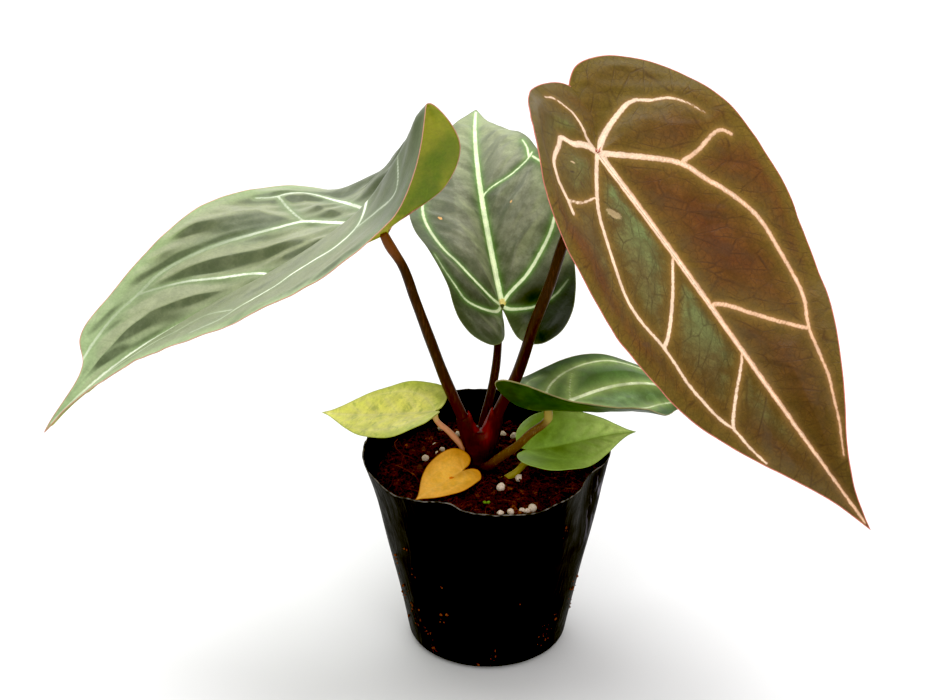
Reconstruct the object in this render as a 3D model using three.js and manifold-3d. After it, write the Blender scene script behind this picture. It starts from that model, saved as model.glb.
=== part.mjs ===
// A potted anthurium hybrid: seven heart-shaped leaves on stalks that rise from a short crown,
// with its roots in a lumpy soil of coir, bark and beads, in a thin black nursery pot.
// Millimetres, +Z up. The origin is the middle of the pot's foot and the viewer stands towards -Y.

import * as THREE from "three";
import Module from "manifold-3d";

const wasm = await Module();
wasm.setup();

// Clearance between neighbouring pieces.
const GAP = 0.35;

// Pot: a thin film cup, wider at the rim.
const POT_HEIGHT = 83.5;
const POT_FOOT_RADIUS = 31.8;
const POT_FLARE = 0.196;
const POT_LIP_FLARE = 1.34;
const POT_LIP_HEIGHT = 16;
const POT_CORNER = 3;
const POT_WALL = 0.9;
const POT_FLOOR = 1;
const POT_SEGMENTS = 60;
const POT_LEVELS = [3, 14, 28, 42, 52, 60, 66, 73, 79];
const CRINKLE_DEPTH = 0.45;
// The film is pushed in at the right front, more and more towards the rim.
const DENT_DEPTH = 5.6;
const DENT_TURN = -28;
const DENT_HALF_WIDTH = 16;
const DENT_START = 50;
const DENT_HEIGHT = 33;
// The rim's uneven height round the pot: [degrees from the right, counted towards the back, height].
const RIM_HEIGHTS = [
  [-180, 84.9],
  [-155, 83.7],
  [-141, 81.6],
  [-128, 84.2],
  [-116, 86.9],
  [-108, 88.2],
  [-102, 85.1],
  [-95, 83.7],
  [-75, 82],
  [-65, 81.1],
  [-55, 83.6],
  [-25, 84.2],
  [0, 84.2],
  [20, 83],
  [60, 85.5],
  [90, 86.5],
  [120, 86],
  [180, 84.9],
];
const DRAIN_HOLE_RADIUS = 3;
const DRAIN_HOLE_RING = 21;
const DRAIN_HOLES = 6;

// Soil: its surface lies under the rim and is strewn with bark chips and beads.
const SOIL_LEVEL = 76;
const SOIL_FALL_AT_WALL = 2.2;
const SOIL_LUMP = 1.1;
const SOIL_RINGS = 6;
const SOIL_SEGMENTS = 60;
const BARK_CHIPS = 18;
const BARK_CHIP_SIZE = 2.4;
const BEAD_PLACES = [
  [-19.3, 34.7, 1.3],
  [-12.1, 27.6, 1.3],
  [-21.6, 18.1, 1.1],
  [-20.3, 12.9, 1.2],
  [-25.3, 7.8, 1.5],
  [6.4, 28.5, 1.9],
  [11.1, 26.7, 1.7],
  [12.5, -6.3, 1.7],
  [5.3, -16, 1.8],
  [4.6, -36.5, 1.5],
  [8.6, -35.3, 1.4],
  [13, -34.2, 1.3],
  [17.2, -33, 1.8],
];

// Leaf blades: thickness at the margin and along the midrib.
const BLADE_THICKNESS = 0.8;
const MIDRIB_THICKNESS = 1.7;
const SPINE_STEPS = 120;
const SPINE_START = -0.34;
const SECTION_STEPS = 16;
const HALF_WIDTH_SHARE = 0.3;
const ROLL_WIDTH = 0.06;
const LAP_START = 0.05;
const LAP_WIDTH = 0.12;
const STALK_SIDES = 8;
const STALK_STEPS = 12;
const NECK_PLACE = 0.015;
const NECK_LENGTH = 2.2;

// Heart outline of a half blade, as shares of the blade's length from the stalk to the tip:
// [along the midrib, sideways], from the notch round the lobe to the tip.
const HEART_OUTLINE = [
  [0, 0],
  [-0.05, 0.012],
  [-0.13, 0.035],
  [-0.185, 0.1],
  [-0.175, 0.17],
  [-0.115, 0.235],
  [0, 0.282],
  [0.16, 0.3],
  [0.34, 0.275],
  [0.52, 0.215],
  [0.69, 0.135],
  [0.82, 0.066],
  [0.92, 0.022],
  [1, 0],
];

// The outline point where the lobe ends, level with the stalk, and the share of rows before it.
const LOBE_END = 6;
const LOBE_SHARE = 0.32;
// The outline point from which a leaf's own tip takes over.
const TIP_START = 10;
// How far each outline point of an overlapping lobe moves past the midrib line, times its notch.
const LAP_SHARES = [0, 0.8, 1, 0.4];

// Where along the blade its bends are named: the lobes, the stalk, the middle and the tip.
const BEND_STATIONS = [-0.2, 0, 0.5, 1];

// Each leaf. Widths and angles are named at the four stations. Angles are degrees: pitch and
// heading of the midrib, bank about it, then the rise (fold) and the further bend (curl) of the
// left and right halves, seen from the stalk. roll turns the left half once more, beyond the crest
// share of the length from the midrib. lap lays the right lobe over the left one: it reaches past
// the midrib line by the notch share, raised by lift, with the left lobe tucked under as much. tip
// gives one half its own outline points where it narrows to the drip tip.
// Pairs are [left half, right half]. stalk lists the points of the stalk from the crown upwards.
const LEAVES = {
  left_leaf: {
    joint: [-38.4, -6, 183.3],
    length: 156,
    widths: [
      [1.45, 1.31, 1.17, 1.09],
      [1.62, 1.55, 1.32, 1.18],
    ],
    lobes: [1.29, 1.16],
    tip: {
      half: 1,
      knots: [
        [0.69, 0.137],
        [0.79, 0.093],
        [0.82, 0.046],
      ],
    },
    pitch: [-20, -24, -25, -43],
    heading: [188, 185, 188, 206],
    bank: [-13, 3, 3, -10],
    fold: [
      [84, 73, 52, 25],
      [51, 27, 28, 50],
    ],
    curl: [
      [27, 14, -9, -16],
      [-77, -42, 8, -17],
    ],
    roll: [-123, -87, -41, 13],
    crest: [0.28, 0.11, 0.02, -0.02],
    wave: 0.3,
    waves: 4,
    rows: 38,
    columns: 5,
    stalk: [
      [-8.6, 0, 95.5],
      [-11, 0, 101.3],
      [-16.7, -1, 116.1],
      [-22.2, -2, 132.8],
      [-28.7, -3.5, 153.3],
      [-33, -5, 167.3],
    ],
    stalkRadii: [2.4, 1.75],
    colour: 0x4a6b4c,
    stalkColour: 0x5a2c22,
  },
  back_leaf: {
    joint: [5.4, 24, 137.2],
    length: 148,
    widths: [
      [0.8, 0.77, 0.81, 0.92],
      [0.81, 0.78, 0.84, 0.94],
    ],
    lobes: [0.99, 1.03],
    pitch: [14, 30, 13, -9],
    heading: [102, 101, 94, 87],
    bank: [0, 5, -8, 6],
    fold: [
      [42, 52, 21, 12],
      [37, 42, 33, -7],
    ],
    curl: [
      [-44, -48, -61, -49],
      [-29, -22, -22, -50],
    ],
    wave: 1,
    waves: 3,
    rows: 28,
    columns: 4,
    stalk: [
      [-2.8, 3.6, 88.5],
      [-1.6, 6.2, 95.5],
      [0.2, 8, 101.5],
      [3, 12, 114.5],
      [4, 17, 123.2],
    ],
    stalkRadii: [1.95, 1.5],
    colour: 0x2f5238,
    stalkColour: 0x4a241c,
  },
  right_leaf: {
    joint: [39.8, -12, 216.4],
    length: 171,
    widths: [
      [1.09, 1.1, 1.11, 1.12],
      [1.08, 1.09, 1.15, 1.16],
    ],
    lobes: [0.96, 1.05],
    lap: { notch: 0.11, lift: 3 },
    pitch: [-49, -43, -45, -35],
    heading: [-24, -35, -36, -50],
    bank: [-4, -1, 3, 20],
    fold: [
      [9, 24, 35, 65],
      [5, 10, -3, -18],
    ],
    curl: [
      [25, 7, -12, -14],
      [20, 7, -8, -26],
    ],
    wave: 0.5,
    waves: 4,
    rows: 32,
    columns: 5,
    stalk: [
      [2.3, 0.5, 97.5],
      [6.7, -1, 108.5],
      [11.1, -4, 119.8],
      [17.9, -8, 145],
      [23.4, -10, 162.2],
      [27.8, -10, 178.1],
      [34.2, -8, 196],
    ],
    stalkRadii: [2.4, 2],
    colour: 0x5c4330,
    stalkColour: 0x4e2419,
  },
  low_leaf: {
    joint: [22.1, -14, 110.8],
    length: 84,
    widths: [
      [1, 0.98, 0.98, 1],
      [1.07, 1.21, 1.31, 1.36],
    ],
    lobes: [0.29, 1.68],
    pitch: [-34, -2, -11, -57],
    heading: [-5, 26, 33, 17],
    bank: [-8, -4, 11, 6],
    fold: [
      [35, 19, 13, -9],
      [36, 12, -29, -53],
    ],
    curl: [
      [-8, -18, -20, -21],
      [22, 24, 64, 89],
    ],
    wave: 0.2,
    waves: 3,
    rows: 22,
    columns: 5,
    stalk: [
      [-2.4, -3.4, 78],
      [0.2, -7.6, 81.4],
      [5.4, -13, 88.8],
      [11.3, -15.4, 94.7],
      [16.3, -16, 100.4],
    ],
    stalkRadii: [2, 1.5],
    colour: 0x35602f,
    stalkColour: 0x5c3a22,
  },
  light_leaf: {
    joint: [15.5, -8, 88.8],
    length: 48.5,
    widths: [
      [1.1, 1.1, 1.1, 1.1],
      [1.07, 1.07, 1.07, 1.07],
    ],
    lobes: [0.46, 0.46],
    pitch: [0, 5, 0, -11],
    heading: [-2, 3, 25, 27],
    bank: [-1, 1, 12, 12],
    fold: [
      [28, 38, 55, 50],
      [14, 9, -8, -28],
    ],
    curl: [
      [-36, -31, -18, -15],
      [-8, -9, -15, -23],
    ],
    wave: 0.3,
    waves: 3,
    rows: 18,
    columns: 3,
    stalk: [
      [-0.6, -2.6, 71],
      [3.2, -6.6, 73.4],
      [7.6, -8.8, 76.6],
      [11.4, -9.4, 79.8],
      [14.4, -9, 83],
    ],
    stalkRadii: [1.6, 1.2],
    colour: 0x6f9a3c,
    stalkColour: 0x8a7a34,
  },
  yellow_leaf: {
    joint: [-20.8, 0, 102.2],
    length: 56.5,
    widths: [
      [0.97, 0.97, 0.97, 0.97],
      [0.95, 0.95, 0.95, 0.95],
    ],
    lobes: [0.3, 0.3],
    pitch: [-15, -14, -15, -14],
    heading: [169, 165, 151, 138],
    bank: [7, -1, -9, -10],
    fold: [
      [27, 17, -1, -15],
      [0, 21, 35, 38],
    ],
    curl: [
      [-13, -16, -27, -35],
      [-31, -16, -14, -22],
    ],
    wave: 0.3,
    waves: 3,
    rows: 18,
    columns: 3,
    stalk: [
      [-5.6, 1.2, 79.5],
      [-8.8, 0.6, 83.4],
      [-11.4, 0.2, 87.6],
      [-15.6, 0, 92.8],
    ],
    stalkRadii: [1.5, 1.1],
    colour: 0xa9a53f,
    stalkColour: 0xa35a33,
  },
  orange_leaf: {
    joint: [-10, -10, 80.5],
    length: 30.5,
    widths: [
      [1.14, 1.14, 1.14, 1.14],
      [1.17, 1.17, 1.17, 1.17],
    ],
    lobes: [0.99, 0.99],
    pitch: [-4, -4, 2, 2],
    heading: [207, 222, 234, 235],
    bank: [-5, -6, -2, -11],
    fold: [
      [5, 14, 2, -23],
      [31, 41, 25, 23],
    ],
    curl: [
      [-24, -19, -21, -32],
      [0, 0, -17, -28],
    ],
    wave: 0.2,
    waves: 2,
    rows: 14,
    columns: 3,
    stalk: [
      [-5.8, -2.6, 74],
      [-8, -6.4, 75.8],
      [-9.2, -8.4, 77.6],
    ],
    stalkRadii: [1.3, 1],
    colour: 0xd98a3a,
    stalkColour: 0xb5622f,
  },
};

// Crown: a short stem that forks into two sheathed arms, with fleshy roots in the soil.
// Each limb is a tube through its points, [x, y, z, radius].
const CROWN_LIMBS = [
  [
    [-2, 0, 56, 4.2],
    [-2.8, 0, 66, 5.4],
    [-3.2, 0, 76, 5.2],
    [-3.2, 0, 84, 5.3],
    [-3, 0.6, 90, 6],
    [-2.8, 1, 93.5, 4.8],
  ],
  [
    [-4.4, 0, 84, 4.4],
    [-6.8, 0, 90.5, 4.2],
    [-9, 0, 96.5, 3.9],
    [-10.3, -0.1, 99.8, 3.4],
  ],
  [
    [-1.6, 0.2, 84, 4.4],
    [0.6, 0.3, 91, 4.2],
    [2.7, 0.6, 98, 3.9],
    [3.7, 0.8, 102, 3.4],
  ],
];
// Sheath tips: slim pointed flaps on the inner side of each arm.
const SHEATH_TIPS = [
  [
    [-5.4, -1.4, 91, 2],
    [-6.2, -1.6, 96, 1.6],
    [-6.7, -1.6, 100, 1],
    [-7.2, -1.5, 103.4, 0.35],
  ],
  [
    [-0.8, -1.2, 91, 2],
    [0, -1.5, 96.5, 1.6],
    [0.4, -1.5, 101, 1],
    [0.8, -1.4, 104.6, 0.35],
  ],
];
const ROOTS = [
  [
    [-3, -1, 64, 2.2],
    [-9, -9, 52, 2],
    [-14, -16, 36, 1.7],
    [-13, -19, 20, 1.2],
  ],
  [
    [-1, -2, 62, 2.2],
    [6, -10, 48, 2],
    [11, -14, 32, 1.7],
    [14, -12, 16, 1.2],
  ],
  [
    [-1, 2, 64, 2.2],
    [7, 10, 52, 2],
    [15, 16, 36, 1.7],
    [14, 20, 22, 1.2],
  ],
  [
    [-4, 2, 62, 2.2],
    [-12, 8, 50, 2],
    [-19, 13, 34, 1.7],
    [-16, 15, 18, 1.2],
  ],
];
const LIMB_SIDES = 10;
const ROOT_SIDES = 6;
const CROWN_COLOUR = 0x7a1a1c;
const POT_COLOUR = 0x0c0c0d;
const SOIL_COLOUR = 0x3a1c14;

// A repeatable sequence of numbers from 0 to 1.
function seededRandom(seed) {
  let state = seed;
  return () => {
    state = (state * 1664525 + 1013904223) % 4294967296;
    return state / 4294967296;
  };
}

// A smooth curve through (stations, values), read at x, level with its end slopes beyond them.
function smoothValue(x, stations, values) {
  const last = stations.length - 1;
  let k = 0;
  while (k < last - 1 && x > stations[k + 1]) k += 1;
  const slope = (i) => (values[i + 1] - values[i]) / (stations[i + 1] - stations[i]);
  const tangent = (i) => {
    if (i === 0) return slope(0);
    if (i === last) return slope(last - 1);
    return (slope(i - 1) + slope(i)) / 2;
  };
  const step = stations[k + 1] - stations[k];
  const t = Math.min(Math.max((x - stations[k]) / step, 0), 1);
  const t2 = t * t;
  const t3 = t2 * t;
  return (
    (2 * t3 - 3 * t2 + 1) * values[k] +
    (t3 - 2 * t2 + t) * step * tangent(k) +
    (3 * t2 - 2 * t3) * values[k + 1] +
    (t3 - t2) * step * tangent(k + 1)
  );
}

const smoothStep = (t) => {
  const u = Math.min(Math.max(t, 0), 1);
  return u * u * (3 - 2 * u);
};

// A mesh geometry from points and triangles of point numbers.
function indexedGeometry(points, triangles) {
  const positions = new Float32Array(points.length * 3);
  points.forEach((p, i) => positions.set([p.x, p.y, p.z], i * 3));
  const geometry = new THREE.BufferGeometry();
  geometry.setAttribute("position", new THREE.BufferAttribute(positions, 3));
  geometry.setIndex(triangles.flat());
  return geometry;
}

function solidFrom(geometry) {
  return new wasm.Manifold(
    new wasm.Mesh({
      numProp: 3,
      vertProperties: new Float32Array(geometry.getAttribute("position").array),
      triVerts: new Uint32Array(geometry.index.array),
    }),
  );
}

function geometryFrom(solid) {
  const mesh = solid.getMesh();
  const points = [];
  for (let i = 0; i < mesh.numVert; i += 1) {
    const at = i * mesh.numProp;
    points.push(new THREE.Vector3(...mesh.vertProperties.slice(at, at + 3)));
  }
  const triangles = [];
  for (let i = 0; i < mesh.triVerts.length; i += 3) {
    triangles.push([mesh.triVerts[i], mesh.triVerts[i + 1], mesh.triVerts[i + 2]]);
  }
  return indexedGeometry(points, triangles);
}

// Rings of points joined into one closed tube, with a point in the middle of each end.
function ringsGeometry(rings) {
  const sides = rings[0].length;
  const points = rings.flat();
  const centre = (ring) =>
    ring.reduce((sum, p) => sum.add(p), new THREE.Vector3()).divideScalar(ring.length);
  const first = points.length;
  points.push(centre(rings[0]), centre(rings[rings.length - 1]));
  const triangles = [];
  for (let r = 0; r < rings.length - 1; r += 1) {
    for (let i = 0; i < sides; i += 1) {
      const a = r * sides + i;
      const b = r * sides + ((i + 1) % sides);
      triangles.push([a, b, b + sides], [a, b + sides, a + sides]);
    }
  }
  const top = (rings.length - 1) * sides;
  for (let i = 0; i < sides; i += 1) {
    const j = (i + 1) % sides;
    triangles.push([first, j, i], [first + 1, top + i, top + j]);
  }
  return indexedGeometry(points, triangles);
}

// A round tube through points [x, y, z], with radiusAt(share) along it. grow widens it all round
// and lengthens its first end, for the hole that it stands in.
function tubeGeometry(points, radiusAt, steps, sides, grow = 0) {
  const curve = new THREE.CatmullRomCurve3(points.map((p) => new THREE.Vector3(...p)));
  const frames = curve.computeFrenetFrames(steps, false);
  const rings = [];
  for (let s = 0; s <= steps; s += 1) {
    const middle = curve.getPointAt(s / steps);
    if (s === 0) middle.addScaledVector(frames.tangents[0], -grow);
    const radius = radiusAt(s / steps) + grow;
    const ring = [];
    for (let i = 0; i < sides; i += 1) {
      const angle = (i / sides) * 2 * Math.PI;
      ring.push(
        middle
          .clone()
          .addScaledVector(frames.normals[s], radius * Math.cos(angle))
          .addScaledVector(frames.binormals[s], radius * Math.sin(angle)),
      );
    }
    rings.push(ring);
  }
  return ringsGeometry(rings);
}

// A leaf: its flat heart outline is carried onto a bent midrib and bent half sections.
class Leaf {
  constructor(shape) {
    this.shape = shape;
    this.spine = this.makeSpine();
  }

  // Points and sideways and upward directions along the bent midrib.
  makeSpine() {
    const { joint, length } = this.shape;
    const radians = (values, a) =>
      THREE.MathUtils.degToRad(smoothValue(a, BEND_STATIONS, values));
    const step = (1 - SPINE_START) / (SPINE_STEPS - 1);
    const spine = [];
    for (let i = 0; i < SPINE_STEPS; i += 1) {
      const a = SPINE_START + i * step;
      const pitch = radians(this.shape.pitch, a);
      const heading = radians(this.shape.heading, a);
      const bank = radians(this.shape.bank, a);
      const ahead = new THREE.Vector3(
        Math.cos(pitch) * Math.cos(heading),
        Math.cos(pitch) * Math.sin(heading),
        Math.sin(pitch),
      );
      const level = new THREE.Vector3(-Math.sin(heading), Math.cos(heading), 0);
      const raised = new THREE.Vector3().crossVectors(ahead, level);
      const left = level
        .clone()
        .multiplyScalar(Math.cos(bank))
        .addScaledVector(raised, Math.sin(bank));
      const up = raised
        .multiplyScalar(Math.cos(bank))
        .addScaledVector(level, -Math.sin(bank));
      const point = new THREE.Vector3();
      if (i > 0) {
        point
          .copy(spine[i - 1].ahead)
          .add(ahead)
          .multiplyScalar((step * length) / 2)
          .add(spine[i - 1].point);
      }
      spine.push({ a, point, ahead, left, up });
    }
    const joined = this.between(spine, 0).point;
    const shift = new THREE.Vector3(...joint).sub(joined);
    spine.forEach((station) => station.point.add(shift));
    return spine;
  }

  // The spine's point and directions at the share a of the length.
  between(spine, a) {
    const place = ((a - SPINE_START) / (1 - SPINE_START)) * (SPINE_STEPS - 1);
    const i = Math.min(Math.max(Math.floor(place), 0), SPINE_STEPS - 2);
    const t = place - i;
    const mix = (key) => spine[i][key].clone().lerp(spine[i + 1][key], t);
    return { point: mix("point"), left: mix("left"), up: mix("up"), ahead: mix("ahead") };
  }

  // The upper face's point for the flat place (along, aside); half is 0 for left and 1 for right.
  pointAt(along, aside, half) {
    const { length, fold, curl, roll, crest, lap, wave, waves } = this.shape;
    const at = this.between(this.spine, along);
    const read = (values) => smoothValue(along, BEND_STATIONS, values);
    const rise = read(fold[half]);
    const bend = read(curl[half]);
    const rolled = roll && half === 0 ? read(roll) : 0;
    const ridge = roll ? read(crest) : 0;
    let across = 0;
    let height = 0;
    for (let k = 0; k < SECTION_STEPS; k += 1) {
      const w = (aside * (k + 0.5)) / SECTION_STEPS;
      const degrees =
        rise +
        (bend * w) / HALF_WIDTH_SHARE +
        rolled * smoothStep((w - ridge) / ROLL_WIDTH + 0.5);
      const angle = THREE.MathUtils.degToRad(degrees);
      across += Math.cos(angle) / SECTION_STEPS;
      height += Math.sin(angle) / SECTION_STEPS;
    }
    const edge = (aside / HALF_WIDTH_SHARE) ** 2;
    const ripple = wave * edge * Math.sin(2 * Math.PI * (waves * along + 0.37 * half));
    const side = half === 0 ? 1 : -1;
    let raised = height * aside * length + ripple;
    if (lap && along < 0) {
      const inner = 1 - smoothStep(aside / LAP_WIDTH);
      raised -= side * lap.lift * Math.min(-along / LAP_START, 1) * inner;
    }
    return at.point
      .addScaledVector(at.left, side * across * aside * length)
      .addScaledVector(at.up, raised);
  }

  // The flat outline of one half at share t of its way round, from the notch to the tip.
  outlineAt(t, half) {
    const { widths, lobes, lap, tip } = this.shape;
    const notch = lap && half === 1 ? lap.notch : 0;
    const knots = HEART_OUTLINE.slice();
    if (tip && tip.half === half) knots.splice(TIP_START, tip.knots.length, ...tip.knots);
    const alongs = knots.map((p) => p[0]);
    const asides = knots.map((p, i) => p[1] - notch * (LAP_SHARES[i] ?? 0));
    const ways = [0];
    for (let i = 1; i < alongs.length; i += 1) {
      ways.push(ways[i - 1] + Math.hypot(alongs[i] - alongs[i - 1], asides[i] - asides[i - 1]));
    }
    const lobe = ways[LOBE_END];
    const rest = ways[ways.length - 1] - lobe;
    const way =
      t < LOBE_SHARE
        ? (lobe * t) / LOBE_SHARE
        : lobe + (rest * (t - LOBE_SHARE)) / (1 - LOBE_SHARE);
    let along = smoothValue(way, ways, alongs);
    if (along < 0) along *= lobes[half];
    const aside = smoothValue(way, ways, asides) * smoothValue(along, BEND_STATIONS, widths[half]);
    return { along, aside };
  }

  // The blade as one closed body: the upper face, the same triangles on the lower face, and the rim.
  bladeGeometry() {
    const { rows, columns } = this.shape;
    const upper = [];
    const thickness = [];
    const numbers = new Map();
    const numberOf = (half, row, column, along, aside) => {
      let key = `${half} ${row} ${column}`;
      if (column === 0) key = along <= 0 ? "joint" : `spine ${row}`;
      if (row === 0) key = "joint";
      if (row === rows) key = "tip";
      if (!numbers.has(key)) {
        numbers.set(key, upper.length);
        upper.push(this.pointAt(along, aside, half));
        const share = Math.min(Math.hypot(Math.min(along, 0), aside) / 0.05, 1);
        thickness.push(MIDRIB_THICKNESS + (BLADE_THICKNESS - MIDRIB_THICKNESS) * share);
      }
      return numbers.get(key);
    };
    const faces = [];
    const rims = [];
    for (const half of [0, 1]) {
      const grid = [];
      for (let row = 0; row <= rows; row += 1) {
        const edge = this.outlineAt(row / rows, half);
        const foot = Math.max(edge.along, 0);
        const line = [];
        for (let column = 0; column <= columns; column += 1) {
          const share = column / columns;
          const along = foot + (edge.along - foot) * share;
          line.push(numberOf(half, row, column, along, edge.aside * share));
        }
        grid.push(line);
      }
      for (let row = 0; row < rows; row += 1) {
        for (let column = 0; column < columns; column += 1) {
          const a = grid[row][column];
          const b = grid[row + 1][column];
          const c = grid[row + 1][column + 1];
          const d = grid[row][column + 1];
          faces.push(half === 0 ? [a, b, c] : [a, c, b], half === 0 ? [a, c, d] : [a, d, c]);
        }
        const from = grid[row][columns];
        const to = grid[row + 1][columns];
        rims.push(half === 0 ? [from, to] : [to, from]);
      }
    }
    const whole = faces.filter(([a, b, c]) => a !== b && b !== c && c !== a);
    return this.thickened(upper, thickness, whole, rims);
  }

  thickened(upper, thickness, faces, rims) {
    const normals = upper.map(() => new THREE.Vector3());
    for (const [a, b, c] of faces) {
      const normal = new THREE.Vector3()
        .subVectors(upper[b], upper[a])
        .cross(new THREE.Vector3().subVectors(upper[c], upper[a]));
      [a, b, c].forEach((i) => normals[i].add(normal));
    }
    const lower = upper.map((p, i) =>
      p.clone().addScaledVector(normals[i].normalize(), -thickness[i]),
    );
    const under = upper.length;
    const triangles = [...faces];
    faces.forEach(([a, b, c]) => triangles.push([a + under, c + under, b + under]));
    rims.forEach(([a, b]) => triangles.push([a, b, b + under], [a, b + under, a + under]));
    return indexedGeometry([...upper, ...lower], triangles);
  }

  // The stalk, whose bent neck meets the blade's underside square on, just below its midrib.
  // grow makes the hole that it stands in.
  stalkGeometry(grow = 0) {
    const { stalk, stalkRadii } = this.shape;
    const end = this.between(this.spine, NECK_PLACE);
    const top = end.point.addScaledVector(end.up, -(MIDRIB_THICKNESS + GAP));
    const neck = top.clone().addScaledVector(end.up, -NECK_LENGTH * stalkRadii[1]);
    const radiusAt = (share) => stalkRadii[0] + (stalkRadii[1] - stalkRadii[0]) * share;
    return tubeGeometry(
      [...stalk, neck.toArray(), top.toArray()],
      radiusAt,
      STALK_STEPS,
      STALK_SIDES,
      grow,
    );
  }
}

// The pot's outer radius at a height and angle: a cone with a lip, a crinkled film wall and a dent.
function potRadius(z, angle) {
  const lip = POT_LIP_FLARE * Math.max(0, (z - (POT_HEIGHT - POT_LIP_HEIGHT)) / POT_LIP_HEIGHT) ** 2;
  const slack = Math.min(Math.max((z - 6) / 40, 0), 1);
  const crinkle =
    Math.sin(5 * angle + 0.05 * z) +
    0.7 * Math.sin(9 * angle - 0.07 * z + 1.3) +
    0.6 * Math.sin(3 * angle + 0.11 * z + 0.4);
  const turn = angle - THREE.MathUtils.degToRad(DENT_TURN);
  const aside = Math.atan2(Math.sin(turn), Math.cos(turn));
  const climb = Math.min(Math.max((z - DENT_START) / DENT_HEIGHT, 0), 1) ** 1.5;
  const dent = DENT_DEPTH * climb * Math.exp(-((aside / THREE.MathUtils.degToRad(DENT_HALF_WIDTH)) ** 2));
  return POT_FOOT_RADIUS + POT_FLARE * z + lip + CRINKLE_DEPTH * slack * crinkle - dent;
}

// The uneven height of the pot's rim.
function rimHeight(angle) {
  const turn = THREE.MathUtils.radToDeg(Math.atan2(Math.sin(angle), Math.cos(angle)));
  return smoothValue(
    turn,
    RIM_HEIGHTS.map((knot) => knot[0]),
    RIM_HEIGHTS.map((knot) => knot[1]),
  );
}

function potRing(z, inset, segments, heightOf = null) {
  const ring = [];
  for (let i = 0; i < segments; i += 1) {
    const angle = (i / segments) * 2 * Math.PI;
    const height = heightOf ? heightOf(angle) : z;
    const radius = potRadius(height, angle) - inset;
    ring.push(new THREE.Vector3(radius * Math.cos(angle), radius * Math.sin(angle), height));
  }
  return ring;
}

function potGeometry() {
  const rings = [potRing(0, POT_CORNER, POT_SEGMENTS)];
  POT_LEVELS.forEach((z) => rings.push(potRing(z, 0, POT_SEGMENTS)));
  rings.push(potRing(0, 0, POT_SEGMENTS, rimHeight));
  rings.push(potRing(0, POT_WALL, POT_SEGMENTS, rimHeight));
  [...POT_LEVELS].reverse().forEach((z) => rings.push(potRing(z, POT_WALL, POT_SEGMENTS)));
  rings.push(potRing(POT_FLOOR, POT_CORNER + POT_WALL, POT_SEGMENTS));
  let pot = solidFrom(ringsGeometry(rings));
  for (let k = 0; k < DRAIN_HOLES; k += 1) {
    const angle = (k / DRAIN_HOLES) * 2 * Math.PI;
    const hole = new THREE.CylinderGeometry(
      DRAIN_HOLE_RADIUS,
      DRAIN_HOLE_RADIUS,
      4 * POT_FLOOR,
      12,
    );
    hole.rotateX(Math.PI / 2);
    hole.translate(
      DRAIN_HOLE_RING * Math.cos(angle),
      DRAIN_HOLE_RING * Math.sin(angle),
      POT_FLOOR / 2,
    );
    pot = pot.subtract(solidFrom(withoutSeams(hole)));
  }
  return geometryFrom(pot);
}

// The same surface with its doubled points joined, so that it is closed.
function withoutSeams(geometry) {
  const place = geometry.getAttribute("position");
  const points = [];
  const numbers = new Map();
  const merged = [];
  for (let i = 0; i < place.count; i += 1) {
    const point = new THREE.Vector3().fromBufferAttribute(place, i);
    const key = point.toArray().map((v) => v.toFixed(4)).join(" ");
    if (!numbers.has(key)) {
      numbers.set(key, points.length);
      points.push(point);
    }
    merged.push(numbers.get(key));
  }
  const order = geometry.index ? [...geometry.index.array] : merged.map((_, i) => i);
  const triangles = [];
  for (let i = 0; i < order.length; i += 3) {
    const [a, b, c] = order.slice(i, i + 3).map((n) => merged[n]);
    if (a !== b && b !== c && c !== a) triangles.push([a, b, c]);
  }
  return indexedGeometry(points, triangles);
}

// The soil's surface height at a place: a low mound, lumpy, falling towards the pot's wall.
function soilHeight(x, y) {
  const out = Math.hypot(x, y) / 46;
  const lumps =
    Math.sin(0.31 * x + 0.7) * Math.cos(0.27 * y - 0.4) +
    0.6 * Math.sin(0.52 * x - 0.44 * y + 1.9) +
    0.4 * Math.cos(0.83 * x + 0.61 * y);
  return SOIL_LEVEL - SOIL_FALL_AT_WALL * out ** 3 + (SOIL_LUMP * lumps) / 2;
}

// A bead or chip: a small faceted lump, stretched, turned and sunk into the soil.
function lumpSolid(x, y, size, stretch, turn) {
  const lump = new THREE.IcosahedronGeometry(size, stretch > 1 ? 0 : 1);
  lump.scale(stretch, 1, 1);
  lump.rotateZ(turn);
  lump.translate(x, y, soilHeight(x, y) + 0.3 * size);
  return solidFrom(withoutSeams(lump));
}

function soilSolid() {
  const bottom = POT_FLOOR + GAP;
  const inset = POT_WALL + GAP;
  const rings = [potRing(bottom, POT_CORNER + inset + 1, SOIL_SEGMENTS)];
  [5, 20, 36, 52, 66].forEach((z) => rings.push(potRing(z, inset, SOIL_SEGMENTS)));
  const wallTop = potRing(73, inset, SOIL_SEGMENTS);
  for (let k = SOIL_RINGS; k >= 1; k -= 1) {
    rings.push(
      wallTop.map((p) => {
        const x = (p.x * k) / SOIL_RINGS;
        const y = (p.y * k) / SOIL_RINGS;
        return new THREE.Vector3(x, y, soilHeight(x, y));
      }),
    );
  }
  let soil = solidFrom(ringsGeometry(rings));
  const random = seededRandom(7);
  for (let k = 0; k < BARK_CHIPS; k += 1) {
    const angle = random() * 2 * Math.PI;
    const out = 10 + 30 * Math.sqrt(random());
    const size = BARK_CHIP_SIZE * (0.5 + 0.6 * random());
    soil = soil.add(
      lumpSolid(
        out * Math.cos(angle),
        out * Math.sin(angle),
        size,
        1.2 + 0.8 * random(),
        random() * Math.PI,
      ),
    );
  }
  BEAD_PLACES.forEach(([x, y, size]) => {
    soil = soil.add(lumpSolid(x, y, size, 1, 0));
  });
  return soil;
}

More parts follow.
